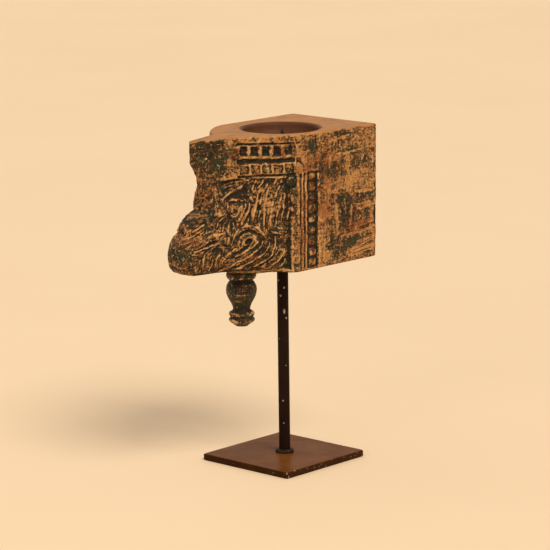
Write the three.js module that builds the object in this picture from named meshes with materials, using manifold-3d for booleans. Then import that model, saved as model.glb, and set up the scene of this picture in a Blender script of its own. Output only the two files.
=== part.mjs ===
// A carved wooden bracket kept as a candle holder: a block with a carved prow, dentil bands, beaded borders
// and a leafy lobe, a turned drop below it, and a round rod that carries it over a square steel plate.
// Millimetres, +Z up. The origin is the centre of the plate's underside, -Y is the way the prow points.
import * as THREE from "three";
import { mergeVertices } from "three/addons/utils/BufferGeometryUtils.js";
import Module from "manifold-3d";

const wasm = await Module();
wasm.setup();

// Driving dimensions
const gap = 0.3;                 // between two pieces that touch
const plateSide = 100;
const plateThick = 6;
const plateWear = 0.8;           // rounding of the plate's worn edges
const rodRadius = 5;
const rodX = 0.8;                // the rod stands a little off the plate's middle
const rodY = 0.8;
const rodReach = 30;             // how far the rod goes up into the block
const weldRadius = 8.6;
const weldHeight = 3;
const weldShoulderUp = 0.45;     // level of the weld's shoulder, as a share of its height
const weldShoulderIn = 0.6;      // how far the weld has drawn in there
const weldCrest = 1;             // width of the weld's top edge

const blockBottom = 177;         // underside of the block above the floor
const blockHeight = 118;
const middleX = -4.5;            // the block's middle plane, beside the rod's axis
const backY = 69;
const backNear = 56.5;           // half width at the back, on the near and on the far side
const backFar = 42;
const backLean = 0.016;          // the near back corner leans in downwards by this share of the height
const shoulderHalf = 46;
const shoulderY = -23;
const borderWide = 7;            // plain border on the slanting face, beside the shoulder
const farSwell = 3.9;            // the far slanting face swells out by this much in its middle
const underFront = -1;           // the underside isn't level: it hangs lower in front and rises to the back
const underBack = 2;
const topWear = 1.6;             // rounding of the worn top edge
const baseWear = 1.2;

const dishX = 0.7;
const dishY = 0.7;
const dishRadius = 33;
const dishFloorRadius = 27;
const dishDepth = 12;
const dishLip = 3;               // width of the soft worn lip around the dish
const spikeOff = 1.1;            // the spike stands off the dish's middle by this much both ways
const spikeRadius = 1.7;
const spikeHeight = 11.4;        // above the dish's floor
const spikeReach = 8;            // how far it is driven into the wood
const spikeStraight = 0.5;       // it begins to taper at this share of its height

const dropY = -46;               // axis of the turned drop on the middle plane
const dropHeight = 48.4;
const dropRadius = 13.6;

// Facets
const rodSides = 24;
const weldSides = 16;
const dishSides = 32;
const dishWallSteps = 4;
const dropSides = 16;
const spikeSides = 12;
const domeRings = 4;
const farStretches = 5;          // straight stretches of a groove along the swelling far face
const borderStep = 0.11;         // longest step of s along the slanting face
const flankStep = 0.078;
const tipStep = 0.04;
const levelStep = 7.5;           // longest step between two levels of the block
const hair = 0.01;               // keeps a cut from ending exactly on a surface

// Profiles of the prow and lobe: [height above the block's underside, value]
const prow = {
  tip: [
    [0, -63], [4, -76], [5.5, -97], [7.5, -113], [12, -122.5], [24, -128.5], [34, -125.5], [42, -119],
    [49, -115], [54, -106.5], [58, -95], [70, -95.5], [84, -97.5], [92, -101.5], [100, -106], [118, -106.5],
  ],
  rootY: [[0, -52], [4, -63], [10, -66], [118, -66]],
  rootHalf: [[0, 22], [5, 24], [18, 27], [34, 25], [50, 20.5], [66, 17], [84, 13.5], [118, 13]],
  endHalf: [
    [0, 7], [5, 9], [18, 14.5], [34, 13], [46, 12.5], [58, 14], [68, 11], [80, 5], [92, 3.2], [118, 3],
  ],
  endLong: [[0, 4], [18, 9], [34, 9], [48, 8], [60, 5], [80, 3], [118, 2.5]],
  cheek: [[0, -5], [5, 0], [20, 3.5], [36, 2.5], [60, 0.5], [84, 0], [118, 0]],
  flank: [[0, 0], [10, 2.5], [30, 3], [50, 1], [64, -2], [84, -0.6], [92, 0], [118, 0]],
};

// Levels that the block's loft goes through, where the prow's profile turns
const turns = [3, 4.5, 9, 16, 34, 49, 51.5, 54, 56, 58, 84, 92, 100];

// Bands on the slanting faces, as heights above the block's underside and lengths from the prow's root
const band = {
  line: { low: 110.7, high: 111.9, deep: 1 },
  cells: { count: 5, pitch: 9.6, first: 8, wide: 5.8, low: 101.4, high: 109.4, deep: 3 },
  gutter: { low: 94.8, high: 98.4, deep: 2.4 },
  bosses: { count: 5, pitch: 9.8, first: 8.3, wide: 7.2, low: 86.2, high: 93.4, deep: 2.2 },
  boss: { radius: 2.8, sides: 6 },
  foot: { low: 83.2, high: 85, deep: 1.4 },
  inset: 2.2,
};

// Carving of the slanting faces and the lobe. Strokes run from one [s, height] to another, where s is 0 at
// the shoulder, 0.5 at the prow's root and 1 at its tip; a row repeats its stroke count times, a step apart.
const carving = {
  rows: [
    { name: "strands", count: 6, from: [0.285, 70], to: [0.375, 47], step: [-0.043, -1.4], wide: 3, deep: 1.5 },
    { name: "locks", count: 3, from: [0.365, 63], to: [0.465, 45.5], step: [0.043, -0.7], wide: 2.8, deep: 1.4 },
    { name: "hatches", count: 4, from: [0.1, 79.5], to: [0.16, 71], step: [0.055, -0.3], wide: 2.4, deep: 1 },
    { name: "veins", count: 3, from: [0.965, 32], to: [0.86, 41], step: [-0.02, -4], wide: 2.6, deep: 1.2 },
    { name: "pits", count: 2, from: [0.3, 58], to: [0.305, 55.5], step: [0.045, -8], wide: 4.2, deep: 2.2 },
  ],
  strokes: [
    { name: "band on the cheek", points: [[0.67, 67], [0.57, 73], [0.47, 77]], wide: 5, deep: 1.4 },
    { name: "brow", points: [[0.62, 57], [0.56, 61], [0.48, 61.5]], wide: 2.6, deep: 1.3 },
    { name: "eye", points: [[0.6, 54.5], [0.55, 57.5], [0.5, 58]], wide: 3.4, deep: 1.6 },
    { name: "mouth", points: [[0.84, 31], [0.75, 35], [0.65, 37]], wide: 3.2, deep: 1.8 },
    { name: "muzzle edge", points: [[0.7, 32], [0.785, 25], [0.815, 15], [0.82, 9]], wide: 3, deep: 1.4 },
    { name: "leaf by the mouth", points: [[0.755, 26], [0.715, 28.5], [0.67, 31]], wide: 5, deep: 1.6 },
    { name: "curl", points: [[0.6, 27], [0.53, 38], [0.43, 40.5], [0.345, 32]], wide: 3.6, deep: 2 },
    { name: "leaf in the curl", points: [[0.61, 18.5], [0.53, 23], [0.44, 28]], wide: 6, deep: 2.2 },
    { name: "leaf edge", points: [[0.71, 5.5], [0.57, 12], [0.43, 18.5], [0.34, 26]], wide: 3.4, deep: 1.8 },
    { name: "crescent", points: [[0.47, 4], [0.34, 8], [0.2, 16], [0.14, 27]], wide: 5, deep: 2.4 },
  ],
  button: { at: 49.5, high: 78.5, radius: 4.4, rise: 1.6, sides: 10 },
  crease: { from: 0.8, high: 57.5, wide: 4, deep: 1.6, step: 0.05 },
  endShare: 1 / 3,               // a stroke's width at its ends, as a share of its full width
};

// Beaded border on the side faces, as lengths back from the shoulder
const border = {
  low: 2,
  high: 85,
  grooves: [[3.4, 4.8, 1.6], [7.6, 9.4, 1.4]],
  channel: { from: 11.6, to: 23.4, deep: 2.6 },
  beads: { count: 9, radius: 4.7, pitch: 9.4, first: 5.6, rise: 2.4, sides: 8 },
};

const clear = 4;                 // how far the cutters stand out of a face

// Small helpers

function between(a, b, q) {
  return a + (b - a) * q;
}

// 0 at both ends of a stretch and 1 in its middle
function swell(q) {
  return 4 * q * (1 - q);
}

// Reads a profile at a height, by a curve that never swings past its own points
function along(profile, h) {
  const last = profile.length - 1;
  if (h <= profile[0][0]) return profile[0][1];
  if (h >= profile[last][0]) return profile[last][1];
  let i = 0;
  while (h > profile[i + 1][0]) i += 1;
  const slope = (k) => (profile[k + 1][1] - profile[k][1]) / (profile[k + 1][0] - profile[k][0]);
  const tangent = (k) => {
    if (k === 0 || k === last) return 0;
    const before = slope(k - 1);
    const after = slope(k);
    return before * after <= 0 ? 0 : (2 * before * after) / (before + after);
  };
  const step = profile[i + 1][0] - profile[i][0];
  const q = (h - profile[i][0]) / step;
  const q2 = q * q;
  const q3 = q2 * q;
  return (2 * q3 - 3 * q2 + 1) * profile[i][1] + (q3 - 2 * q2 + q) * step * tangent(i)
    + (3 * q2 - 2 * q3) * profile[i + 1][1] + (q3 - q2) * step * tangent(i + 1);
}

// Numbers from the first to the last of a list of stops, with no step longer than the longest one
function steps(stops, longest) {
  const list = [stops[0]];
  for (let i = 1; i < stops.length; i += 1) {
    const count = Math.ceil((stops[i] - stops[i - 1]) / longest);
    for (let k = 1; k <= count; k += 1) list.push(between(stops[i - 1], stops[i], k / count));
  }
  return list;
}

function toSolid(geometry) {
  const bare = geometry.clone();
  bare.deleteAttribute("normal");
  bare.deleteAttribute("uv");
  const merged = mergeVertices(bare, 1e-5);
  return new wasm.Manifold(new wasm.Mesh({
    numProp: 3,
    vertProperties: new Float32Array(merged.attributes.position.array),
    triVerts: new Uint32Array(merged.index.array),
  }));
}

function toGeometry(solid) {
  const mesh = solid.getMesh();
  const geometry = new THREE.BufferGeometry();
  geometry.setAttribute("position", new THREE.BufferAttribute(new Float32Array(mesh.vertProperties), 3));
  geometry.setIndex(new THREE.BufferAttribute(new Uint32Array(mesh.triVerts), 1));
  const flat = geometry.toNonIndexed();
  flat.computeVertexNormals();
  return flat;
}

// Moves a geometry by a matrix, and turns its triangles round if the matrix mirrors it
function placed(geometry, matrix, turn = matrix.determinant() < 0) {
  const copy = geometry.clone();
  copy.applyMatrix4(matrix);
  if (!turn) return copy;
  const index = copy.index;
  const count = index ? index.count : copy.attributes.position.count;
  const corner = (i) => (index ? index.getX(i) : i);
  const reversed = [];
  for (let i = 0; i < count; i += 3) reversed.push(corner(i), corner(i + 2), corner(i + 1));
  copy.setIndex(reversed);
  return copy;
}

// The block's outline

// Point on the front half outline: s is 0 at the shoulder and 1 at the prow's tip
const rootAt = 0.5;
const endAt = 0.88;
const shoulder = [shoulderHalf, shoulderY];
const topRoot = [along(prow.rootHalf, blockHeight), along(prow.rootY, blockHeight)];
const slant = Math.hypot(shoulder[0] - topRoot[0], shoulder[1] - topRoot[1]);
const slantOut = [(shoulder[1] - topRoot[1]) / slant, -(shoulder[0] - topRoot[0]) / slant];
const edgeAt = (rootAt * borderWide) / slant;
const edge = [
  between(shoulder[0], topRoot[0], borderWide / slant),
  between(shoulder[1], topRoot[1], borderWide / slant),
];

function frontPoint(s, h, side = 1) {
  const p = plainFront(s, h);
  const q = s / rootAt;
  if (side > 0 || q >= 1) return p;
  const push = swell(q) * farSwell;
  return [p[0] + slantOut[0] * push, p[1] + slantOut[1] * push];
}

function plainFront(s, h) {
  const root = [along(prow.rootHalf, h), along(prow.rootY, h)];
  const tipY = along(prow.tip, h);
  const end = [along(prow.endHalf, h), tipY + along(prow.endLong, h)];
  if (s <= edgeAt) return bulged(shoulder, edge, s / edgeAt, 0);
  if (s <= rootAt) return bulged(edge, root, (s - edgeAt) / (rootAt - edgeAt), along(prow.cheek, h));
  if (s <= endAt) return bulged(root, end, (s - rootAt) / (endAt - rootAt), along(prow.flank, h));
  const turn = ((s - endAt) / (1 - endAt)) * Math.PI / 2;
  return [end[0] * Math.cos(turn), between(end[1], tipY, Math.sin(turn))];
}

// Point at q from a to b, pushed out sideways by the bulge in the middle
function bulged(a, b, q, bulge) {
  const length = Math.hypot(b[0] - a[0], b[1] - a[1]);
  const out = [-(b[1] - a[1]) / length, (b[0] - a[0]) / length];
  const push = swell(q) * bulge;
  return [between(a[0], b[0], q) + out[0] * push, between(a[1], b[1], q) + out[1] * push];
}

// Height above the floor of a level of the block, which follows the sloping underside
function blockLevel(h, y) {
  const back = Math.min(1, Math.max(0, (y - shoulderY) / (backY - shoulderY)));
  return blockBottom + h + between(underFront, underBack, back) * (1 - h / blockHeight);
}

// Point of the carved front in the part's own frame; side is 1 near and -1 far
function frontAt(side, s, h) {
  const p = frontPoint(s, h, side);
  return new THREE.Vector3(middleX + side * p[0], p[1], blockLevel(h, p[1]));
}

// The way the carved front faces there
function frontNormal(side, [s, h]) {
  const reach = 0.01;
  const rise = 1;
  const across = frontAt(side, Math.min(1, s + reach), h).sub(frontAt(side, s - reach, h));
  const up = frontAt(side, s, h + rise).sub(frontAt(side, s, h - rise));
  const out = across.cross(up).normalize();
  return out.x * side < 0 ? out.negate() : out;
}

// One level of the block as a closed outline, anticlockwise from above
function outline(h) {
  const stops = [
    0,
    ...steps([edgeAt, rootAt], borderStep),
    ...steps([rootAt, endAt], flankStep).slice(1),
    ...steps([endAt, 1], tipStep).slice(1),
  ];
  const lean = (blockHeight - h) * backLean;
  const near = stops.map((s) => frontPoint(s, h));
  const far = stops.slice(0, -1).map((s) => frontPoint(s, h, -1)).map(([x, y]) => [-x, y]);
  const loop = [[backNear - lean, backY], [-backFar, backY], ...far, ...near.reverse()];
  const wear = Math.max(
    topWear * Math.max(0, 1 - (blockHeight - h) / topWear) ** 2,
    baseWear * Math.max(0, 1 - h / baseWear) ** 2,
  );
  return loop.map(([x, y]) => {
    const keep = 1 - wear / Math.hypot(x, y);
    return [middleX + x * keep, y * keep];
  });
}

function blockBody() {
  const ends = [blockHeight - topWear, blockHeight - topWear / 2, blockHeight];
  const levels = steps([0, baseWear, ...turns, ...ends], levelStep);
  const loops = levels.map((h) => outline(h));
  const count = loops[0].length;
  const points = [];
  loops.forEach((loop, row) => loop.forEach(([x, y]) => points.push(x, y, blockLevel(levels[row], y))));
  const faces = [];
  for (let row = 0; row + 1 < levels.length; row += 1) {
    for (let i = 0; i < count; i += 1) {
      const a = row * count + i;
      const b = row * count + ((i + 1) % count);
      faces.push(a, b, b + count, a, b + count, a + count);
    }
  }
  const cap = (row) => THREE.ShapeUtils.triangulateShape(
    loops[row].map(([x, y]) => new THREE.Vector2(x, y)),
    [],
  ).map((face) => face.map((i) => row * count + i));
  cap(0).forEach(([a, b, c]) => faces.push(a, c, b));
  cap(levels.length - 1).forEach(([a, b, c]) => faces.push(a, b, c));
  const geometry = new THREE.BufferGeometry();
  geometry.setAttribute("position", new THREE.Float32BufferAttribute(points, 3));
  geometry.setIndex(faces);
  return toSolid(geometry);
}

// Frames of the flat faces: x runs along the face, y up from the underside, z out of the wood

function faceFrame(from, to, side) {
  const alongFace = new THREE.Vector3(side * (to[0] - from[0]), to[1] - from[1], 0).normalize();
  const up = new THREE.Vector3(0, 0, 1);
  const out = new THREE.Vector3().crossVectors(alongFace, up).normalize();
  if (out.x * side < 0) out.negate();
  const matrix = new THREE.Matrix4().makeBasis(alongFace, up, out);
  matrix.setPosition(middleX + side * from[0], from[1], blockBottom);
  return matrix;
}

// The slanting face's frame where a cut has its middle, out by the face's swell there
function slantFrame(side, middle) {
  const q = middle / slant;
  const push = side < 0 ? swell(q) * farSwell : 0;
  return faceFrame(topRoot, shoulder, side).multiply(new THREE.Matrix4().makeTranslation(0, 0, push));
}

function sideFrame(side) {
  return faceFrame(shoulder, [side > 0 ? backNear : backFar, backY], side);
}

// A cutter for a groove in a face, from one length to another and one height to another
function bar(from, to, low, high, deep) {
  const geometry = new THREE.BoxGeometry(to - from, high - low, deep + clear);
  geometry.translate((from + to) / 2, (low + high) / 2, (clear - deep) / 2);
  return geometry;
}

// A low round boss standing on a face
function dome(x, y, floor, radius, high, sides) {
  const geometry = new THREE.SphereGeometry(1, sides, domeRings).rotateX(Math.PI / 2);
  geometry.scale(radius, radius, high);
  geometry.translate(x, y, floor);
  return geometry;
}

function cutBands(block, side) {
  const stretches = side > 0 ? 1 : farStretches;
  let result = block;
  const cut = (from, to, { low, high, deep }) => {
    const frame = slantFrame(side, (from + to) / 2);
    result = result.subtract(toSolid(placed(bar(from, to, low, high, deep), frame)));
  };
  [band.line, band.gutter, band.foot].forEach((groove) => {
    const stops = steps([band.inset, slant - band.inset], (slant - 2 * band.inset) / stretches + hair);
    for (let i = 1; i < stops.length; i += 1) cut(stops[i - 1], stops[i], groove);
  });
  [band.cells, band.bosses].forEach((row) => {
    for (let i = 0; i < row.count; i += 1) {
      const middle = row.first + i * row.pitch;
      cut(middle - row.wide / 2, middle + row.wide / 2, row);
    }
  });
  const row = band.bosses;
  for (let i = 0; i < row.count; i += 1) {
    const middle = row.first + i * row.pitch;
    const high = (row.low + row.high) / 2;
    const boss = dome(middle, high, -row.deep, band.boss.radius, row.deep, band.boss.sides);
    result = result.add(toSolid(placed(boss, slantFrame(side, middle))));
  }
  return result;
}

function cutBorder(block, side) {
  const frame = sideFrame(side);
  let result = block;
  const strips = [
    ...border.grooves,
    [border.channel.from, border.channel.to, border.channel.deep],
  ];
  strips.forEach(([from, to, deep]) => {
    result = result.subtract(toSolid(placed(bar(from, to, border.low, border.high, deep), frame)));
  });
  const beads = border.beads;
  const middle = (border.channel.from + border.channel.to) / 2;
  for (let i = 0; i < beads.count; i += 1) {
    const at = beads.first + i * beads.pitch;
    const bead = dome(middle, at, -border.channel.deep, beads.radius, beads.rise, beads.sides);
    result = result.add(toSolid(placed(bead, frame)));
  }
  return result;
}

// A carved stroke: a V-shaped cutter swept through points of the front, given as [s, height]
function stroke(side, points, wide, deep) {
  const path = new THREE.CatmullRomCurve3(points.map(([s, h]) => frontAt(side, s, h)));
  const out = frontNormal(side, points[points.length >> 1]);
  const count = Math.max(2, points.length);
  const rings = Array.from({ length: count + 1 }, (_, i) => {
    const at = path.getPoint(i / count);
    const across = path.getTangent(i / count).cross(out).normalize();
    const share = i === 0 || i === count ? carving.endShare : 1;
    return [
      at.clone().addScaledVector(out, -deep * share),
      at.clone().addScaledVector(out, deep).addScaledVector(across, share * wide),
      at.clone().addScaledVector(out, deep).addScaledVector(across, -share * wide),
    ];
  });
  const faces = [0, 2, 1];
  for (let i = 0; i < count; i += 1) {
    for (let k = 0; k < 3; k += 1) {
      const a = 3 * i + k;
      const b = 3 * i + ((k + 1) % 3);
      faces.push(a, b, b + 3, a, b + 3, a + 3);
    }
  }
  faces.push(3 * count, 3 * count + 1, 3 * count + 2);
  const geometry = new THREE.BufferGeometry().setFromPoints(rings.flat());
  geometry.setIndex(faces);
  return outward(geometry);
}

// Turns a closed mesh right side out
function outward(geometry) {
  const p = geometry.attributes.position;
  const index = geometry.index.array;
  const corner = (i) => new THREE.Vector3().fromBufferAttribute(p, i);
  let volume = 0;
  for (let i = 0; i < index.length; i += 3) {
    volume += corner(index[i]).dot(corner(index[i + 1]).cross(corner(index[i + 2])));
  }
  return volume < 0 ? placed(geometry, new THREE.Matrix4(), true) : geometry;
}

function carve(block, side) {
  let result = block;
  carving.rows.forEach((row) => {
    for (let i = 0; i < row.count; i += 1) {
      const start = [row.from[0] + i * row.step[0], row.from[1] + i * row.step[1]];
      const end = [row.to[0] + i * row.step[0], row.to[1] + i * row.step[1]];
      result = result.subtract(toSolid(stroke(side, [start, end], row.wide, row.deep)));
    }
  });
  carving.strokes.forEach(({ points, wide, deep }) => {
    result = result.subtract(toSolid(stroke(side, points, wide, deep)));
  });
  const crease = carving.crease;
  const around = steps([crease.from, 1], crease.step).map((s) => [s, crease.high]);
  result = result.subtract(toSolid(stroke(side, around, crease.wide, crease.deep)));
  const button = carving.button;
  const raised = dome(button.at, button.high, 0, button.radius, button.rise, button.sides);
  return result.add(toSolid(placed(raised, slantFrame(side, button.at))));
}

function turned(profile, sides) {
  const points = profile.map(([r, z]) => new THREE.Vector2(r, z));
  return new THREE.LatheGeometry(points, sides).rotateX(Math.PI / 2);
}

function cutDish(block) {
  const floor = blockBottom + blockHeight - dishDepth;
  const top = blockBottom + blockHeight;
  const profile = [[0, floor], [dishFloorRadius, floor]];
  for (let i = 1; i <= dishWallSteps; i += 1) {
    const a = (i / dishWallSteps) * Math.PI / 2;
    profile.push([
      between(dishFloorRadius, dishRadius, Math.sin(a)),
      floor + (dishDepth - dishLip / 2) * (1 - Math.cos(a)),
    ]);
  }
  profile.push([dishRadius + dishLip, top + hair]);
  profile.push([dishRadius + dishLip, top + dishDepth]);
  profile.push([0, top + dishDepth]);
  return block.subtract(toSolid(turned(profile, dishSides).translate(dishX, dishY, 0)));
}

function cutSockets(block) {
  const hole = (radius, reach, sides, x, y, mouth) => toSolid(
    new THREE.CylinderGeometry(radius + gap, radius + gap, 2 * (reach + gap), sides)
      .rotateX(Math.PI / 2)
      .translate(x, y, mouth),
  );
  const floor = blockBottom + blockHeight - dishDepth;
  const rodHole = hole(rodRadius, rodReach, rodSides, rodX, rodY, blockBottom);
  const spikeHole = hole(spikeRadius, spikeReach, spikeSides, dishX + spikeOff, dishY + spikeOff, floor);
  return block.subtract(rodHole).subtract(spikeHole);
}

// Materials

function material(colour, roughness, metalness) {
  return new THREE.MeshStandardMaterial({ color: colour, roughness, metalness });
}

const plateLook = material(0x33251d, 0.3, 0.5);
const rodLook = material(0x2a2019, 0.45, 0.5);
const weldLook = material(0x2a2019, 0.55, 0.5);
const blockLook = material(0x8a6a42, 0.7, 0);
const dropLook = material(0x4a4c38, 0.6, 0);
const spikeLook = material(0x1c1613, 0.5, 0.6);

// The pieces

const part = new THREE.Group();

function add(name, geometry, look) {
  const mesh = new THREE.Mesh(geometry, look);
  mesh.name = name;
  part.add(mesh);
  return mesh;
}

function plate() {
  const half = plateSide / 2 - plateWear;
  const shape = new THREE.Shape([
    new THREE.Vector2(-half, -half),
    new THREE.Vector2(half, -half),
    new THREE.Vector2(half, half),
    new THREE.Vector2(-half, half),
  ]);
  const geometry = new THREE.ExtrudeGeometry(shape, {
    depth: plateThick - 2 * plateWear,
    bevelThickness: plateWear,
    bevelSize: plateWear,
    bevelSegments: 1,
  });
  return geometry.translate(0, 0, plateWear);
}

function rod() {
  const low = plateThick + gap;
  const high = blockBottom + rodReach;
  return new THREE.CylinderGeometry(rodRadius, rodRadius, high - low, rodSides)
    .rotateX(Math.PI / 2)
    .translate(0, 0, (low + high) / 2);
}

function weld() {
  const inner = rodRadius + gap;
  const low = plateThick + gap;
  const high = low + weldHeight;
  return turned([
    [inner, low],
    [weldRadius, low],
    [weldRadius - weldShoulderIn, low + weldHeight * weldShoulderUp],
    [inner + weldCrest, high],
    [inner, high],
    [inner, low],
  ], weldSides);
}

function spike() {
  const floor = blockBottom + blockHeight - dishDepth;
  return turned([
    [0, floor - spikeReach],
    [spikeRadius, floor - spikeReach],
    [spikeRadius, floor + spikeHeight * spikeStraight],
    [0, floor + spikeHeight],
  ], spikeSides);
}

// The turned drop, as shares of its height down from the block and of its widest radius
const dropProfile = [
  [0, 0.9], [0.055, 0.965], [0.095, 0.97], [0.135, 0.9], [0.172, 0.76], [0.21, 0.85], [0.28, 0.97],
  [0.345, 1], [0.415, 0.965], [0.5, 0.85], [0.6, 0.66], [0.695, 0.566], [0.728, 0.67], [0.755, 0.81],
  [0.778, 0.84], [0.805, 0.8], [0.835, 0.74], [0.862, 0.8], [0.887, 0.845], [0.915, 0.8], [0.98, 0.5],
  [1, 0.42],
];

function turnedDrop() {
  const top = blockLevel(0, dropY) - gap;
  const outer = [...dropProfile].reverse();
  const side = outer.map(([down, wide]) => [wide * dropRadius, top - down * dropHeight]);
  return turned([[0, top - dropHeight], ...side, [0, top]], dropSides);
}

function block() {
  let solid = blockBody();
  [1, -1].forEach((side) => {
    solid = cutBands(solid, side);
    solid = cutBorder(solid, side);
    solid = carve(solid, side);
  });
  solid = cutDish(solid);
  solid = cutSockets(solid);
  return toGeometry(solid);
}

add("base_plate", plate(), plateLook);
add("rod", rod(), rodLook).position.set(rodX, rodY, 0);
add("weld_bead", weld(), weldLook).position.set(rodX, rodY, 0);
add("carved_block", block(), blockLook);
add("turned_drop", turnedDrop(), dropLook).position.set(middleX, dropY, 0);
add("candle_spike", spike(), spikeLook).position.set(dishX + spikeOff, dishY + spikeOff, 0);

export default part;
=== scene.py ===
"""Looks for a carved wooden bracket on a rod and plate: a dense carved block, a turned drop, a worn stand.

The sizes repeat those of the CAD source, in millimetres, and every mesh is turned into metres at the end.
A value that is called fitted follows the outline in the photograph instead, inside the CAD's box.
"""

import math

import bpy
import numpy as np
from mathutils import Matrix, Vector


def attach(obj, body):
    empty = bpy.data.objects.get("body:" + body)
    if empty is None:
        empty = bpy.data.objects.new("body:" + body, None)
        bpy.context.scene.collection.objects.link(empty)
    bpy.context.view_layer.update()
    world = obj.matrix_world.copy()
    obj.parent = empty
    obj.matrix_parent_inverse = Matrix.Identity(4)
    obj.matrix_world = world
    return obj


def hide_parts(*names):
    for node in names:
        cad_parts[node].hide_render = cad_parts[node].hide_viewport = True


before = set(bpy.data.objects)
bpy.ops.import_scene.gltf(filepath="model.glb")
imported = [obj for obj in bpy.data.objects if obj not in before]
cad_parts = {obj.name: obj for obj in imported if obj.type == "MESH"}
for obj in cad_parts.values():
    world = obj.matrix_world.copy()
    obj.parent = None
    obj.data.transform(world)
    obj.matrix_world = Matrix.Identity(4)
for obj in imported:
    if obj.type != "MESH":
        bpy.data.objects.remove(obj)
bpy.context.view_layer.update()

MM = 0.001

# Sizes of the CAD source
GAP = 0.3
PLATE_SIDE = 100
PLATE_THICK = 6
ROD_RADIUS = 5
ROD_AT = (0.8, 0.8)
ROD_REACH = 30
WELD_RADIUS = 8.6
WELD_HEIGHT = 3
BOTTOM = 177
HEIGHT = 118
MIDDLE_X = -4.5
BACK_Y = 69
BACK_FAR = 42
BACK_LEAN = 0.016
SHOULDER = (46, -23)
BORDER_WIDE = 7
UNDER_FRONT = -1
TOP_WEAR = 1.6
BASE_WEAR = 1.2
DISH_AT = (0.7, 0.7)
DISH_RADIUS = 33
DISH_FLOOR_RADIUS = 27
DISH_DEPTH = 12
DISH_LIP = 3
SPIKE_AT = (1.8, 1.8)
SPIKE_RADIUS = 1.7
SPIKE_HEIGHT = 11.4
SPIKE_REACH = 8
DROP_Y = -46
DROP_HEIGHT = 48.4
DROP_RADIUS = 13.6

# Fitted: the near back corner, the underside's height at the back, and the swelling of the far front
BACK_NEAR = 57.1
UNDER_BACK = 1
FAR_SWELL = 5

# Profiles of the prow over its height: the tip (fitted), where its flanks start and end, and how they bulge
PROW = {
    "tip": [(0, -63), (2.8, -76), (3.6, -97), (5, -113), (8.5, -123.5), (14, -127), (24, -128.5), (34, -126),
            (42, -119), (49, -115), (54, -106.5), (58, -95), (70, -95.5), (84, -97.5), (92, -101.5),
            (100, -106), (118, -106.5)],
    "root_y": [(0, -52), (4, -63), (10, -66), (118, -66)],
    "root_half": [(0, 22), (5, 24), (18, 27), (34, 25), (50, 20.5), (66, 17), (84, 13.5), (118, 13)],
    "end_half": [(0, 7), (5, 9), (18, 14.5), (34, 13), (46, 12.5), (58, 14), (68, 11), (80, 5),
                 (92, 3.2), (118, 3)],
    "end_long": [(0, 4), (18, 9), (34, 9), (48, 8), (60, 5), (80, 3), (118, 2.5)],
    "cheek": [(0, -5), (5, 0), (20, 3.5), (36, 2.5), (60, 0.5), (84, 0), (118, 0)],
    "flank": [(0, 0), (10, 2.5), (30, 3), (50, 1), (64, -2), (84, -0.6), (92, 0), (118, 0)],
}
# Places along a front, from 0 at the shoulder to 1 at the tip: the prow's root and the end of its flank
ROOT_AT = 0.5
END_AT = 0.88


# Helpers

def between(a, b, q):
    return a + (b - a) * q


def swell(q):
    return 4 * q * (1 - q)


def clip01(x):
    return np.clip(x, 0, 1)


def smooth(x):
    x = clip01(x)
    return x * x * (3 - 2 * x)


def slot_mask(x, low, high, soft):
    """1 between low and high and 0 outside, with soft edges."""
    return smooth((x - low + soft / 2) / soft) * smooth((high + soft / 2 - x) / soft)


def taper(q, least, power):
    """Share of a stroke's full strength at place q along it, least at both ends."""
    return least + (1 - least) * np.sin(math.pi * q) ** power


def along(profile, h):
    """Reads a profile at heights, by a curve that never swings past its own points."""
    xs = np.array([p[0] for p in profile], float)
    ys = np.array([p[1] for p in profile], float)
    slope = np.diff(ys) / np.diff(xs)
    tangent = np.zeros(len(xs))
    before, after = slope[:-1], slope[1:]
    turn = before * after > 0
    total = np.where(turn, before + after, 1)
    tangent[1:-1] = np.where(turn, 2 * before * after / total, 0)
    h = np.clip(np.asarray(h, float), xs[0], xs[-1])
    i = np.clip(np.searchsorted(xs, h, side="right") - 1, 0, len(xs) - 2)
    step = xs[i + 1] - xs[i]
    q = (h - xs[i]) / step
    q2, q3 = q * q, q * q * q
    return ((2 * q3 - 3 * q2 + 1) * ys[i] + (q3 - 2 * q2 + q) * step * tangent[i]
            + (3 * q2 - 2 * q3) * ys[i + 1] + (q3 - q2) * step * tangent[i + 1])


LATTICE = 32


def noise(points, size, seed):
    """Smooth noise from -1 to 1 over points in millimetres, with features about that size."""
    lattice = np.random.default_rng(seed).random((LATTICE, LATTICE, LATTICE)) * 2 - 1
    p = np.asarray(points, float) / size + 500
    i = np.floor(p).astype(int)
    f = p - i
    f = f * f * (3 - 2 * f)
    total = 0
    for corner in np.ndindex(2, 2, 2):
        share = np.abs(1 - np.array(corner) - f)
        x, y, z = np.moveaxis((i + corner) % LATTICE, -1, 0)
        total = total + share[..., 0] * share[..., 1] * share[..., 2] * lattice[x, y, z]
    return total


def blurred(grid, reach):
    """A grid blurred by a bell of that many cells, both ways."""
    cells = np.arange(-3 * reach, 3 * reach + 1)
    bell = np.exp(-0.5 * (cells / reach) ** 2)
    bell /= bell.sum()
    for axis in (0, 1):
        pad = [(0, 0), (0, 0)]
        pad[axis] = (3 * reach, 3 * reach)
        wide = np.pad(grid, pad, mode="edge")
        grid = sum(w * np.take(wide, np.arange(grid.shape[axis]) + k, axis=axis) for k, w in enumerate(bell))
    return grid


def linked(name, data):
    thing = bpy.data.objects.new(name, data)
    bpy.context.scene.collection.objects.link(thing)
    return thing


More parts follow.
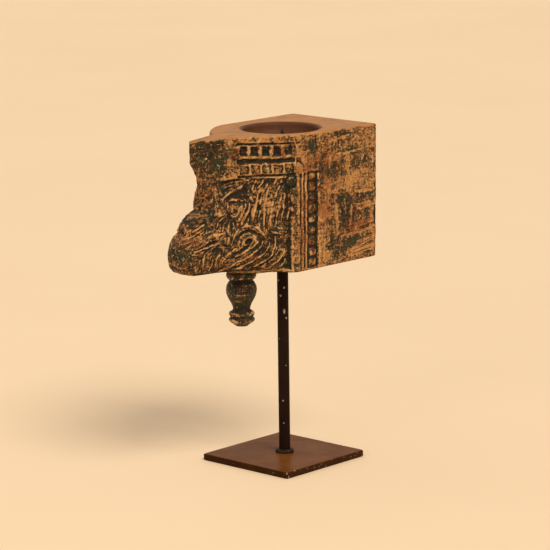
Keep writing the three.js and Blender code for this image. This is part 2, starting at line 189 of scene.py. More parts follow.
def make_mesh(name, points, faces, values=None):
    """A smooth mesh from points in millimetres, with named values on its points."""
    mesh = bpy.data.meshes.new(name)
    mesh.from_pydata((np.asarray(points) * MM).tolist(), [], faces)
    mesh.validate()
    for key, value in (values or {}).items():
        layer = mesh.attributes.new(key, "FLOAT", "POINT")
        layer.data.foreach_set("value", np.asarray(value, np.float32).ravel())
    for polygon in mesh.polygons:
        polygon.use_smooth = True
    mesh.update()
    return linked(name, mesh)


def grid_faces(columns, rows):
    """Quads round a closed loop of columns, whose points run row by row."""
    faces = []
    for start in range(0, (rows - 1) * columns, columns):
        for c in range(columns):
            d = (c + 1) % columns
            faces.append((start + c, start + d, start + columns + d, start + columns + c))
    return faces


def fan(ring, centre, up):
    """Triangles from a closed ring to a point in its middle, facing up or down."""
    n = len(ring)
    pairs = [(ring[k], ring[(k + 1) % n]) for k in range(n)]
    return [(a, b, centre) if up else (b, a, centre) for a, b in pairs]


def angles_about(ring, centre):
    return np.arctan2(ring[:, 1] - centre[1], ring[:, 0] - centre[0])


def circle(a, centre, radius, z):
    """Points of a level circle, at angles a."""
    x, y = centre[0] + radius * np.cos(a), centre[1] + radius * np.sin(a)
    return np.stack([x, y, np.full(len(a), float(z))], axis=-1)


# The block's base form

SLANT_ROOT = (float(along(PROW["root_half"], HEIGHT)), float(along(PROW["root_y"], HEIGHT)))
SLANT = math.hypot(SHOULDER[0] - SLANT_ROOT[0], SHOULDER[1] - SLANT_ROOT[1])
SLANT_OUT = ((SHOULDER[1] - SLANT_ROOT[1]) / SLANT, -(SHOULDER[0] - SLANT_ROOT[0]) / SLANT)
EDGE_AT = ROOT_AT * BORDER_WIDE / SLANT
EDGE = (between(SHOULDER[0], SLANT_ROOT[0], BORDER_WIDE / SLANT),
        between(SHOULDER[1], SLANT_ROOT[1], BORDER_WIDE / SLANT))


def bulged(a, b, q, bulge):
    """Plan point at share q of the way from a to b, pushed sideways by a bulge."""
    length = np.hypot(b[0] - a[0], b[1] - a[1])
    push = swell(q) * bulge
    return (between(a[0], b[0], q) - (b[1] - a[1]) / length * push,
            between(a[1], b[1], q) + (b[0] - a[0]) / length * push)


def front_plan(s, h, side):
    """Plan position of the carved front, for arrays of s and h; side is 1 near and -1 far."""
    s, h = np.broadcast_arrays(np.asarray(s, float), np.asarray(h, float))
    root = along(PROW["root_half"], h), along(PROW["root_y"], h)
    tip_y = along(PROW["tip"], h)
    end = along(PROW["end_half"], h), tip_y + along(PROW["end_long"], h)
    plain = bulged(SHOULDER, EDGE, s / EDGE_AT, 0)
    slope = bulged(EDGE, root, (s - EDGE_AT) / (ROOT_AT - EDGE_AT), along(PROW["cheek"], h))
    flank = bulged(root, end, (s - ROOT_AT) / (END_AT - ROOT_AT), along(PROW["flank"], h))
    turn = clip01((s - END_AT) / (1 - END_AT)) * math.pi / 2
    nose = (end[0] * np.cos(turn), between(end[1], tip_y, np.sin(turn)))
    parts = [s <= EDGE_AT, s <= ROOT_AT, s <= END_AT]
    x, y = (np.select(parts, [plain[k], slope[k], flank[k]], nose[k]) for k in (0, 1))
    push = swell(clip01(s / ROOT_AT)) * FAR_SWELL * (side < 0)
    return x + SLANT_OUT[0] * push, y + SLANT_OUT[1] * push


def level(h, y):
    """World height of a height on the block, whose underside slopes a little from front to back."""
    back = clip01((y - SHOULDER[1]) / (BACK_Y - SHOULDER[1]))
    return BOTTOM + h + between(UNDER_FRONT, UNDER_BACK, back) * (1 - h / HEIGHT)


def front_points(s, h, side):
    x, y = front_plan(s, h, side)
    return np.stack([MIDDLE_X + side * x, y, level(h, y)], axis=-1)


# Lengths of the block's parts in plan, and the cells of its skin
SIDE_LONG = BACK_Y - SHOULDER[1]
BACK_LONG = BACK_NEAR + BACK_FAR
FLANK_LONG = 62
NOSE_LONG = 20
SIDE_FINE = 26                     # width of the carved border, with fine cells
CORNER_ZONE = 3
CORNER_CELL = 0.8
BACK_CELL = 3.1
ROW_CELL = 0.73


def spread(start, end, cell):
    """Even stops from start to just before end, about a cell apart."""
    count = max(1, round(abs(end - start) / cell))
    return list(np.linspace(start, end, count + 1)[:-1])


def side_stops(fine, broad):
    corner = SIDE_LONG - CORNER_ZONE
    return (spread(0, SIDE_FINE, fine) + spread(SIDE_FINE, corner, broad)
            + spread(corner, SIDE_LONG, CORNER_CELL))


def front_stops(cell):
    return (spread(0, ROOT_AT, cell * ROOT_AT / SLANT) + spread(ROOT_AT, END_AT, cell * 0.38 / FLANK_LONG)
            + spread(END_AT, 1, cell * 0.12 / NOSE_LONG))


# Columns round the block, anticlockwise from above: what they are on, and the place along it
back_corner = BACK_LONG - CORNER_ZONE
back_stops = (spread(0, CORNER_ZONE, CORNER_CELL) + spread(CORNER_ZONE, back_corner, BACK_CELL)
              + spread(back_corner, BACK_LONG, CORNER_CELL))
columns = [("back", t / BACK_LONG) for t in back_stops]
columns += [("far_side", t) for t in [SIDE_LONG] + side_stops(0.95, 1.9)[::-1][:-1]]
columns += [("far", s) for s in front_stops(1.05)]
columns += [("near", s) for s in [1.0] + front_stops(0.71)[::-1][:-1]]
columns += [("near_side", t) for t in side_stops(0.85, 1.5)]
kind = np.array([c[0] for c in columns])
value = np.array([c[1] for c in columns], float)

rows = np.array(spread(0, BASE_WEAR, 0.4) + spread(BASE_WEAR, HEIGHT - TOP_WEAR, ROW_CELL)
                + spread(HEIGHT - TOP_WEAR, HEIGHT, 0.32) + [HEIGHT])
COLS, ROWS = len(columns), len(rows)
H = np.broadcast_to(rows[None, :], (COLS, ROWS))
base = np.zeros((COLS, ROWS, 3))
lean = (HEIGHT - rows) * BACK_LEAN
for c, (what, v) in enumerate(columns):
    q = v / SIDE_LONG
    x, y = between(BACK_NEAR - lean, -BACK_FAR, v), BACK_Y
    if what == "near_side":
        x, y = between(SHOULDER[0], BACK_NEAR - lean, q), between(SHOULDER[1], BACK_Y, q)
    elif what == "far_side":
        x, y = -between(SHOULDER[0], BACK_FAR, q), between(SHOULDER[1], BACK_Y, q)
    elif what != "back":
        side = 1 if what == "near" else -1
        x, y = front_plan(v, rows, side)
        x = x * side
    base[c, :, 0] = x
    base[c, :, 1] = y

# Worn upright edges: columns near a corner are drawn together
CORNER_REACH = 3
CORNER_ROUNDS = 8
CORNER_PULL = 0.7
soften = np.zeros(COLS)
for c in range(COLS):
    pair = {kind[c], kind[c - 1]}
    if len(pair) == 2 and pair != {"near", "far"}:
        for k in range(-CORNER_REACH, CORNER_REACH + 1):
            near = (c + k) % COLS
            soften[near] = max(soften[near], 1 - abs(k) / (CORNER_REACH + 1))
for _ in range(CORNER_ROUNDS):
    drawn = (np.roll(base, 1, axis=0) + np.roll(base, -1, axis=0)) / 2
    base = base + (drawn - base) * (CORNER_PULL * soften)[:, None, None]

wear = np.maximum(TOP_WEAR * np.maximum(0, 1 - (HEIGHT - rows) / TOP_WEAR) ** 2,
                  BASE_WEAR * np.maximum(0, 1 - rows / BASE_WEAR) ** 2)
keep = 1 - wear[None, :] / np.hypot(base[..., 0], base[..., 1])
base[..., 0] = MIDDLE_X + base[..., 0] * keep
base[..., 1] = base[..., 1] * keep
base[..., 2] = level(H, base[..., 1])

over = np.roll(base, -1, axis=0) - np.roll(base, 1, axis=0)
up = np.gradient(base, axis=1)
normal = np.cross(over, up)
normal /= np.linalg.norm(normal, axis=-1, keepdims=True) + 1e-9

# Relief: how far each point of the skin stands out from the base form

RIB_RISE = 1.75
CREST_LIMIT = -0.15                # a crest stays at least this far under the face
STRAND = 2.3                       # pitch of the fine strands that run beside the ribs
GROUND = 1.75                      # how far the ground between the ribs is sunk
NOWHERE_NEAR = 99.0

relief = np.zeros((COLS, ROWS))


class Face:
    """One carved front: where its points are, and strokes cut into its share of the relief."""

    def __init__(self, side):
        self.side = side
        self.pick = np.where(kind == ("near" if side > 0 else "far"))[0]
        self.at = base[self.pick]
        # Strokes are measured from points moved about a little, which makes them waver
        stir = [noise(self.at, 5.5, 101 + k) * 0.8 + noise(self.at, 2.4, 111 + k) * 0.4 for k in range(3)]
        self.stirred = self.at + np.stack(stir, axis=-1)
        self.s = value[self.pick][:, None] * np.ones((1, ROWS))
        self.h = np.broadcast_to(rows[None, :], self.s.shape)
        self.deep = np.zeros(self.s.shape)
        self.beside = np.full(self.s.shape, NOWHERE_NEAR)

    def line(self, path, samples=14):
        """A smooth line through a path given as s and height by turns."""
        p = np.array(path, float).reshape(-1, 2)
        p = np.vstack([2 * p[0] - p[1], p, 2 * p[-1] - p[-2]])
        q = np.linspace(0, 1, samples, endpoint=False)[:, None]
        out = []
        for a, b, c, d in zip(p[:-3], p[1:-2], p[2:-1], p[3:]):
            out.append(0.5 * (2 * b + (c - a) * q + (2 * a - 5 * b + 4 * c - d) * q ** 2
                              + (3 * b - a - 3 * c + d) * q ** 3))
        flat = np.vstack(out + [p[-2:-1]])
        return front_points(flat[:, 0], flat[:, 1], self.side)

    def near(self, path, reach):
        """Distance to a path and place along it, for the points within reach of it."""
        line = self.line(path)
        low, high = line.min(0) - reach, line.max(0) + reach
        inside = np.all((self.stirred > low) & (self.stirred < high), axis=-1)
        spots = self.stirred[inside]
        gaps = np.linalg.norm(spots[:, None] - line[None], axis=-1)
        best = gaps.argmin(1)
        return inside, gaps[np.arange(len(spots)), best], best / (len(line) - 1)

    def distance(self, s, h):
        return np.linalg.norm(self.at - front_points(s, h, self.side), axis=-1)

    def groove(self, path, wide, deep):
        inside, gap, q = self.near(path, wide)
        share = taper(q, 0.35, 0.6)
        cut = -deep * share * smooth(1.15 - gap / (wide * 0.5 * share))
        self.deep[inside] = np.minimum(self.deep[inside], cut)

    def rib(self, path, wide, low, seed):
        """A worn rib on the ground, with its crest as far under the face as low says."""
        inside, gap, q = self.near(path, 3 * STRAND)
        at = self.at[inside]
        self.beside[inside] = np.minimum(self.beside[inside], gap)
        share = taper(q, 0.45, 0.5)
        worn = 0.35 + noise(at, 7, seed + 7) + 0.8 * noise(at, 2.6, seed + 8)
        floor = self.deep[inside]
        half = wide * 0.56 * share * (1 + 0.5 * noise(at, 4.5, seed + 12))
        arch = np.maximum(0, 1 - (gap / half) ** 1.6) ** 0.8
        crest = np.minimum(floor + (RIB_RISE - low - worn) * arch * smooth(share * 1.4), CREST_LIMIT)
        self.deep[inside] = np.where(arch > 0, np.maximum(floor, crest), floor)

    def oval(self, s, h, long, short, angle, rise):
        """An oval swelling, turned by an angle in degrees, or a hole where rise is below 0."""
        across = front_points(s - 0.01, h, self.side) - front_points(s + 0.01, h, self.side)
        across /= np.linalg.norm(across)
        upward = front_points(s, h + 1, self.side) - front_points(s, h - 1, self.side)
        upward -= across * (upward @ across)
        upward /= np.linalg.norm(upward)
        apart = self.at - front_points(s, h, self.side)
        x, y = apart @ across, apart @ upward
        cos, sin = math.cos(math.radians(angle)), math.sin(math.radians(angle))
        r = np.hypot((x * cos + y * sin) / long, (y * cos - x * sin) / short)
        close = np.linalg.norm(apart, axis=-1) < 3 * long
        bump = rise * (np.sqrt(np.maximum(0, 1 - r ** 2)) * close)
        self.deep = np.minimum(self.deep, bump) if rise < 0 else self.deep + bump


# Rounded ribs that stand on the sunk ground: width, how far the crest lies under the face, and the path,
# as place s and height by turns
RIBS = [
    # strands of the mane
    (2.7, 0.1, 0.445, 62, 0.49, 52, 0.565, 42), (2.8, 0, 0.405, 62.5, 0.45, 53, 0.53, 42.5),
    (2.9, 0.2, 0.365, 62, 0.41, 52, 0.475, 43), (2.8, 0, 0.305, 74, 0.36, 60, 0.385, 52, 0.425, 43),
    (1.8, 0.5, 0.275, 73, 0.315, 62, 0.335, 53, 0.36, 42), (2.6, 0, 0.24, 72, 0.285, 57, 0.315, 39),
    (1.5, 0.4, 0.205, 71, 0.25, 57, 0.28, 45), (4, 0, 0.17, 70, 0.22, 57, 0.27, 40),
    (3, 0.2, 0.13, 68, 0.16, 56, 0.205, 42), (2, 0.4, 0.095, 71, 0.115, 58, 0.15, 41),
    (2.2, 0, 0.06, 74, 0.07, 55, 0.105, 38),
    # feathering beside the eye
    (1.7, 0.3, 0.62, 52.5, 0.655, 48, 0.68, 42.5), (1.8, 0.2, 0.585, 51, 0.62, 46, 0.645, 41),
    (1.7, 0.3, 0.67, 56, 0.7, 51, 0.73, 45.5), (1.7, 0.4, 0.72, 58, 0.755, 53, 0.79, 48),
    # lids and brow
    (1.7, 0, 0.62, 56.5, 0.575, 60, 0.5, 60.5), (1.3, 0.3, 0.61, 54, 0.56, 52.4, 0.505, 55),
    (2.6, 0.2, 0.68, 60, 0.6, 65, 0.5, 66, 0.45, 63.5), (3, 0.2, 0.73, 66, 0.63, 70, 0.53, 73.5, 0.44, 77),
    (2.2, 0.4, 0.7, 76, 0.61, 79, 0.5, 80.5, 0.38, 81), (2.2, 0.4, 0.44, 72, 0.4, 68, 0.375, 63),
    # short leaves under the band
    (2.4, 0.1, 0.11, 81, 0.135, 76, 0.165, 71), (2.2, 0.2, 0.165, 81.5, 0.19, 77, 0.215, 72.5),
    (2.2, 0.1, 0.215, 81.5, 0.24, 77, 0.265, 73), (2, 0.3, 0.27, 81, 0.295, 77, 0.32, 74),
    (2, 0.4, 0.33, 80, 0.355, 76, 0.375, 72),
    # lips and hook
    (3.2, 0.1, 0.885, 33, 0.78, 38.5, 0.66, 41), (1.8, 0, 0.87, 27.5, 0.77, 31, 0.66, 34.5),
    (2, 0, 0.65, 44.5, 0.63, 39, 0.635, 33, 0.655, 28.5),
    # veins over the lip
    (1.8, 0.1, 0.985, 28.5, 0.93, 31.5, 0.885, 35), (2, 0, 0.985, 33, 0.925, 37, 0.87, 40.5),
    (2, 0, 0.975, 38, 0.915, 42, 0.86, 45), (1.8, 0.2, 0.96, 43, 0.9, 46.5, 0.84, 49.5),
    # edge of the muzzle and the leaves behind it
    (2.2, 0, 0.72, 31, 0.79, 25.5, 0.818, 17, 0.81, 9), (1.9, 0.3, 0.735, 13, 0.72, 20, 0.685, 25),
    (2.4, 0.4, 0.9, 22, 0.87, 15, 0.85, 8), (2.6, 0.5, 0.96, 20, 0.93, 12, 0.9, 6),
    (1.6, 0.5, 0.77, 9, 0.755, 16, 0.745, 21),
    # the curl
    (2.4, 0, 0.615, 29, 0.56, 40, 0.465, 43.5, 0.37, 41, 0.305, 32),
    (3.8, 0.5, 0.53, 28.5, 0.5, 33.5, 0.445, 34.5, 0.4, 29.5), (1.8, 0.3, 0.645, 22, 0.58, 26.5, 0.545, 32),
    # leaves under the curl
    (2.2, 0.2, 0.65, 15, 0.56, 19.5, 0.46, 25, 0.385, 30.5),
    (2.6, 0, 0.72, 6, 0.6, 12.5, 0.5, 17, 0.4, 23, 0.34, 30),
    (2.2, 0.2, 0.64, 4, 0.5, 10.5, 0.4, 15.5, 0.31, 22, 0.27, 30),
    (2.4, 0, 0.52, 3.5, 0.39, 9, 0.29, 15, 0.22, 24, 0.2, 33),
    (2.4, 0, 0.33, 3.5, 0.21, 9, 0.125, 18, 0.1, 30), (1.8, 0.3, 0.19, 3, 0.11, 9, 0.075, 17),
    (1.8, 0.3, 0.255, 38, 0.18, 35.5, 0.12, 34),
]
# Hollows cut below the ground: width, depth, path
HOLLOWS = [
    (3, 2, 0.67, 68, 0.57, 74, 0.47, 77.5), (4.6, 2.6, 0.56, 69.5, 0.49, 70.5, 0.44, 67.5),
    (2, 2.1, 0.63, 61, 0.56, 63, 0.48, 63), (3.4, 2.2, 0.595, 55.5, 0.56, 56.5, 0.52, 57.6),
    (2.8, 3, 0.845, 30, 0.75, 34, 0.65, 37.5), (4.4, 2.8, 0.765, 24.5, 0.72, 28, 0.68, 30.5),
    (3.4, 3, 0.575, 30, 0.535, 37, 0.455, 39.5, 0.385, 37.5, 0.345, 31),
    (3.6, 3, 0.61, 18.8, 0.53, 24, 0.46, 28.5), (4.6, 2.9, 0.43, 18.5, 0.37, 22, 0.31, 28),
    (3.4, 2.9, 0.46, 4.5, 0.34, 9, 0.245, 15.5, 0.17, 28), (2.2, 2.4, 0.7, 3.5, 0.57, 9, 0.45, 14),
    (1.8, 2.3, 0.7, 33.5, 0.79, 27.5, 0.83, 18, 0.835, 8), (3, 2.2, 0.235, 38, 0.16, 38.5, 0.09, 36),
    (3.6, 2.4, 0.09, 5, 0.075, 10, 0.065, 19), (3.4, 3, 0.335, 60.5, 0.33, 58, 0.335, 55.5),
    (3.6, 3, 0.36, 49.5, 0.35, 47, 0.355, 44.5), (3, 1.2, 0.93, 62, 0.86, 66, 0.8, 74),
    (2.4, 1, 0.75, 63, 0.725, 72, 0.73, 85), (3.4, 0.9, 0.98, 66, 0.97, 78, 0.975, 92),
    (3.4, 0.9, 0.82, 57.2, 0.9, 57.2, 1, 57.2), (1.6, 1.9, 0.05, 73, 0.052, 55, 0.07, 36, 0.068, 20),
]
# Oval holes cut through ribs and ground: s, height, long, short, angle, depth
HOLES = [
    (0.335, 58, 2.7, 1.6, 70, 3), (0.356, 47.3, 2.9, 1.6, 65, 3), (0.475, 30.5, 3.6, 2.6, 25, 2.6),
    (0.53, 70.3, 4.6, 1.8, 10, 2.8), (0.31, 27.5, 3.2, 1.5, 35, 3), (0.12, 76.5, 2.4, 1.6, 40, 2.4),
    (0.655, 30.5, 3, 1.5, 20, 2.8), (0.105, 24, 3.4, 1.3, 75, 2.4), (0.24, 67, 2.6, 1.1, 75, 2.2),
    (0.2, 47, 3, 0.9, 78, 2.6), (0.42, 52, 2.8, 0.9, 65, 2.6),
]
# Swellings and dips of the ground: s, height, reach, rise
SWELLINGS = [
    (0.46, 33, 8.5, 1.5), (0.56, 57, 8, 1.1), (0.78, 38, 10, 1.2), (0.24, 60, 11, 0.9), (0.62, 47, 6, -1.2),
    (0.36, 21, 8, -1.1), (0.2, 27, 8, -0.8), (0.1, 10, 8, -0.9), (0.53, 12, 9, 0.8), (0.7, 27, 7, -0.9),
    (0.87, 20, 10, 0.9), (0.48, 71, 7, -1.1), (0.34, 50, 5, -1), (0.4, 79, 8, 0.5), (0.68, 16, 7, 0.8),
    (0.13, 45, 8, -0.7), (0.3, 10, 7, 0.9),
]
# Cells and bosses of the band: first length from the prow's root, pitch and width
CELLS = (8, 9.6, 5.8)
BOSSES = (8.3, 9.8, 7.2)
WHOLE_CELLS = 5                    # a sixth of each row is only begun
CELL_TOP = 109.4
BOSS_HEIGHT = 89.8
# Grooves along the band: low and high edge, softness, depth
BAND_GROOVES = [(110.5, 112.1, 0.9, 1.5), (94.6, 98.6, 2.6, 2.1), (83.0, 85.4, 1.6, 1.7)]
BUTTON = (0.047, 78.5)
BUTTON_RADIUS = 4.9
BUTTON_DITCH = (6.2, 1.5)          # radius and depth of the ditch round the button


def carve(face, seed):
    s, h, at = face.s, face.h, face.at
    wander = noise(at, 16, seed) * 1.2
    ground = slot_mask(h + wander, 2.5, 81.8, 2.0) * smooth((s - 0.045 + wander * 0.004) / 0.02)
    plain_nose = smooth((s - 0.62) / 0.08) * smooth((h - 53) / 5)
    ground = ground * (1 - plain_nose * 0.8)
    lumps = noise(at, 11, seed + 1) * 0.7 + noise(at, 5, seed + 2) * 0.6
    for at_s, at_h, reach, rise in SWELLINGS:
        lumps = lumps + rise * np.exp(-(face.distance(at_s, at_h) / reach) ** 2)
    # the lobe's front is calmer than the rest
    front = smooth((s - 0.82) / 0.1) * smooth((46 - h) / 10)
    face.deep = np.minimum(lumps * (1 - 0.6 * front) - GROUND * (1 - 0.65 * front), -0.3) * ground
    for wide, deep, *path in HOLLOWS:
        face.groove(path, wide * 1.35, deep)
    for wide, low, *path in RIBS:
        face.rib(path, wide * 0.9, low, seed)
    strands = np.cos(2 * math.pi * face.beside / STRAND)
    strands = strands * (face.beside < 2.6 * STRAND) * (face.beside > 0.5 * STRAND)
    broken = clip01(0.55 + 0.9 * noise(at, 5, seed + 10))
    most = np.where(ground > 0.5, -0.1, face.deep)
    face.deep = np.minimum(face.deep + 0.4 * strands * broken * ground, most)
    face.oval(0.56, 56.6, 2.3, 1.3, 12, 0.9)     # the eye
    for at_s, at_h, long, short, angle, deep in HOLES:
        face.oval(at_s, at_h, long, short, angle, -deep)

    # the band, by length x from the prow's root and height y, both a little uneven
    x = (ROOT_AT - s) / ROOT_AT * SLANT + noise(at, 8, seed + 3) * 0.5 + noise(at, 3, seed + 5) * 0.5
    y = h + noise(at, 12, seed + 4) * 0.5 + noise(at, 3.4, seed + 6) * 0.5
    before_root = s <= ROOT_AT
    on_band = slot_mask(x, 2.2, SLANT - 1.4, 1.4) * before_root
    uneven = 0.9 + 0.45 * noise(at, 3.6, seed + 9)

    def sink(mask, deep):
        face.deep = np.minimum(face.deep, -deep * mask * uneven)

    def box(row, i, begun, low, high, soft, soft_up):
        """Mask of place i of a row of the band, between two heights."""
        middle = row[0] + row[1] * i
        wide = row[2] if i < WHOLE_CELLS else begun
        return slot_mask(x, middle - wide / 2, middle + wide / 2, soft) * slot_mask(y, low, high, soft_up)

    for low, high, soft, deep in BAND_GROOVES:
        sink(slot_mask(y, low, high, soft) * on_band, deep)
    for i in range(WHOLE_CELLS + 1):
        slope = 0.75 + 0.35 * clip01((CELL_TOP - y) / 8)
        cell = box(CELLS, i, 2.4, 101.4, CELL_TOP, 2.4, 2.4)
        sink(cell * slope * before_root, 2.1 if i < WHOLE_CELLS else 1.2)
        middle = BOSSES[0] + BOSSES[1] * i
        round_off = (np.abs(x - middle) / 3.9) ** 3 + (np.abs(y - BOSS_HEIGHT) / 4.1) ** 3
        cushion = 1.9 * np.maximum(0, 1 - round_off) ** 0.6
        boss = box(BOSSES, i, 2.2, 86.2, 93.4, 1.5, 1.8)
        sink(boss * before_root * (2.2 - cushion) / 2.2, 2.2)
    radius, deep = BUTTON_DITCH
    off = face.distance(*BUTTON)
    ditch = np.minimum(face.deep, -deep * smooth((radius - off) / 1.0))
    face.deep = np.where(off < radius, ditch, face.deep)
    ball = np.sqrt(np.maximum(0, 1 - (off / BUTTON_RADIUS) ** 2))
    face.deep = np.where(ball > 0, np.maximum(face.deep, -deep + 2.6 * ball), face.deep)
    relief[face.pick] = face.deep


carve(Face(1), 11)
carve(Face(-1), 41)

# The border of each side: upright lines, and a channel with beads
LINES = [(3.0, 5.0, 1.4), (7.2, 9.2, 1.2)]      # near and far edge, depth
BORDER_TOP = 85
CHANNEL = (11.6, 23.2)
CHANNEL_DEEP = 1.7
BEAD_AT = 17.4
BEADS = [5.6 + 9.4 * i for i in range(9)]
RINGED_BEAD = 6
for name, seed in (("near_side", 71), ("far_side", 91)):
    pick = np.where(kind == name)[0]
    at = base[pick]
    t = value[pick][:, None] + noise(at, 13, seed) * 0.7 + noise(at, 4, seed + 3) * 0.5
    y = rows[None, :] + noise(at, 9, seed + 1) * 0.6 + noise(at, 3.5, seed + 4) * 0.3
    span = slot_mask(y, 2, BORDER_TOP, 1.6)
    deep = np.zeros(at.shape[:2])
    ragged = 0.75 + 0.45 * noise(at, 5, seed + 2)
    for low, high, cut in LINES:
        deep = np.minimum(deep, -cut * slot_mask(t, low, high, 1.3) * span * ragged)
    channel = slot_mask(t, *CHANNEL, 2.2) * span
    deep = np.minimum(deep, -CHANNEL_DEEP * channel)
    for i, middle in enumerate(BEADS):
        r = ((np.abs(t - BEAD_AT) / 4.9) ** 2.7 + (np.abs(y - middle) / 4.1) ** 2.7) ** (1 / 2.7)
        dome = 1.9 * np.maximum(0, 1 - r ** 2.4) ** 0.6
        if i == RINGED_BEAD:
            dome = dome - 1.5 * slot_mask(r, 0.45, 0.78, 0.2)
        if i % 3 == 1:
            dome = dome * 0.85
        deep = np.where(channel > 0.5, np.maximum(deep, -CHANNEL_DEEP + dome * ragged), deep)
    deep = deep + 0.45 * slot_mask(t, 23.6, 24.8, 0.8) * slot_mask(y, 14, 80, 2)
    # the band's grooves run on a little round the corner, and a curved one ends the border
    wrap = smooth((6.5 - t) / 4)
    for low, high, cut in ((110.4, 112, 1.2), (94.6, 98.6, 1.8)):
        deep = np.minimum(deep, -cut * slot_mask(y, low, high, 1.2) * wrap)
    curl = np.hypot(t - 1.5, y - 88.5)
    deep = np.minimum(deep, -1.5 * slot_mask(curl, 5.4, 7.2, 1.2) * (y > 85.5) * smooth((9 - t) / 3))
    relief[pick] = deep

bare = np.zeros((COLS, ROWS))

# Straight scratches on the sides, down to bare wood: length and height of both ends, width, depth
SCRATCHES = [
    (44.5, 112, 45.5, 99, 0.9, 0.7), (44.5, 52, 45.5, 26, 1.0, 0.8), (62, 50, 61, 30, 0.8, 0.5),
    (64, 11, 88, 17.5, 1.3, 0.9), (72, 16.5, 91, 20, 1.2, 0.8), (66, 61, 88, 60, 0.9, 0.5),
    (2, 97, 12, 103, 1.0, 0.8), (6, 93, 17, 99, 0.9, 0.7), (30, 24, 31, 4, 0.8, 0.5),
    (70, 8, 90, 10, 0.8, 0.5), (34, 78, 36, 60, 0.7, 0.4), (50, 24, 86, 26, 0.8, 0.4),
    (36, 108, 60, 112, 0.7, 0.4), (52, 96, 74, 98, 0.7, 0.3), (29, 6, 34, 7, 0.9, 0.6),
    (61, 5.3, 90, 9, 1.2, 1.0), (63, 9, 91, 12.6, 1.1, 1.0), (66, 30, 92, 34, 1.1, 0.8),
    (56, 76, 58, 62, 0.7, 0.3), (70, 45, 90, 48, 0.8, 0.4), (78, 26, 91, 28, 0.8, 0.4),
]


def scratch(name, ax, ay, bx, by, wide, deep):
    pick = np.where(kind == name)[0]
    t, y = value[pick][:, None], rows[None, :]
    long = math.hypot(bx - ax, by - ay)
    q = clip01(((t - ax) * (bx - ax) + (y - ay) * (by - ay)) / long ** 2)
    gap = np.hypot(t - ax - q * (bx - ax), y - ay - q * (by - ay))
    share = np.sin(math.pi * np.clip(q, 0.04, 0.96)) ** 0.4
    relief[pick] = np.minimum(relief[pick], -deep * np.maximum(0, 1 - gap / wide) * share)
    bare[pick] = np.maximum(bare[pick], smooth(1.3 - gap / wide) * share)


for ax, ay, bx, by, wide, deep in SCRATCHES:
    scratch("near_side", ax, ay, bx, by, wide, deep)
    # the far side has them turned over and a little closer together
    scratch("far_side", ax * 0.9 + 8, HEIGHT - ay, bx * 0.9 + 8, HEIGHT - by, wide, deep)

# Hewn and worn surface: rough on the carving, calmer on the lobe's front and on plain faces
carved = np.isin(kind, ("near", "far"))[:, None]
rough = noise(base, 7, 3) * 0.3 + noise(base, 3.2, 4) * 0.32 + noise(base, 1.8, 5) * 0.28
hewn = np.where(carved & (rows[None, :] < 82), 1.25, 0.6)
hewn = np.where(carved & (rows[None, :] < 46) & (value[:, None] > 0.84), 0.6, hewn)
relief += rough * hewn - 0.5
grain = noise(base * np.array([1, 1, 0.12]), 1.7, 6)
relief += np.where(carved, 0.08, 0.2) * grain
# Broken places on the near back edge
nick = np.zeros((COLS, ROWS))
for c in np.where(kind == "near_side")[0]:
    back = SIDE_LONG - value[c]
    nick[c] = np.exp(-(back / 3.2) ** 2) * (np.exp(-((rows - 38) / 9) ** 2) * 1.8
                                          + np.exp(-((rows - 64) / 3) ** 2) * 1.5)
relief -= nick * (1 + 0.6 * noise(base, 4, 8))

# The relief fades out at the top and the underside, where the skin meets the caps
fade = smooth((HEIGHT - rows) / 1.2) * smooth(rows / 0.8 + 0.2)
skin = base + normal * (relief * fade[None, :])[..., None]
# The cavity is high on crests and low in hollows of the relief: the shader keeps more paint in the hollows by
# it, and also paints highlights on the crests and shade in the hollows
broad, close = blurred(relief, 5), blurred(relief, 2)
cavity = clip01(0.5 + (relief - broad) / 4.6 + (relief - close) / 1.9)
button = np.exp(-((value[:, None] - BUTTON[0]) / 0.035) ** 2 - ((rows[None, :] - BUTTON[1]) / 5) ** 2)
cavity -= 0.6 * button * carved

# Paint by region: how much dark paint is left, and how orange the wood is.
# Each patch is place along the face, height, and how far it reaches both ways.

DARK_SIDE = [
    (17, 105, 8, 5), (45, 107, 4, 6), (52, 113, 13, 3), (73, 87, 7, 4), (38, 82, 9, 5), (26, 87, 5, 5),
    (25, 69, 4, 9), (76, 57, 13, 4), (48, 56, 5, 6), (55, 42, 11, 13), (79, 40, 8, 5), (40, 20, 5, 9),
    (47, 11, 6, 4), (66, 17, 17, 5), (79, 28, 11, 3), (80, 6.9, 12, 1.3), (80, 11, 13, 1.3),
    (80, 14.6, 13, 1.2), (82, 20, 12, 1.6), (17.4, 44, 4.5, 46), (90, 62, 2, 4), (91, 38, 3, 9),
    (63, 99, 6, 3),
]
LIGHT_SIDE = [(60, 70, 26, 6), (30, 40, 6, 22), (70, 78, 10, 4), (40, 95, 12, 3), (60, 24, 20, 2),
              (80, 47, 7, 3), (12, 90, 12, 4), (84, 108, 8, 8)]
DARK_FRONT = [
    (0.8, 108, 0.16, 16), (0.66, 100, 0.07, 20), (0.6, 76, 0.09, 9), (0.43, 71, 0.07, 6), (0.06, 79, 0.06, 6),
    (0.47, 26, 0.08, 5), (0.32, 22, 0.07, 6), (0.62, 52, 0.06, 5), (0.9, 60, 0.06, 6), (0.46, 36, 0.09, 3),
    (0.07, 7, 0.06, 6), (0.045, 78.5, 0.06, 7), (0.04, 62, 0.03, 8), (0.26, 104, 0.24, 6),
    (0.74, 28, 0.05, 4), (0.96, 26, 0.05, 6), (0.17, 36, 0.08, 4), (0.85, 8, 0.1, 4),
]
LIGHT_FRONT = [
    (0.55, 98, 0.035, 18), (0.23, 60, 0.1, 10), (0.92, 40, 0.07, 6), (0.97, 76, 0.03, 12),
    (0.3, 115, 0.2, 3), (0.5, 46, 0.04, 3), (0.7, 42, 0.06, 3), (0.54, 86, 0.03, 6), (0.14, 12, 0.04, 4),
]
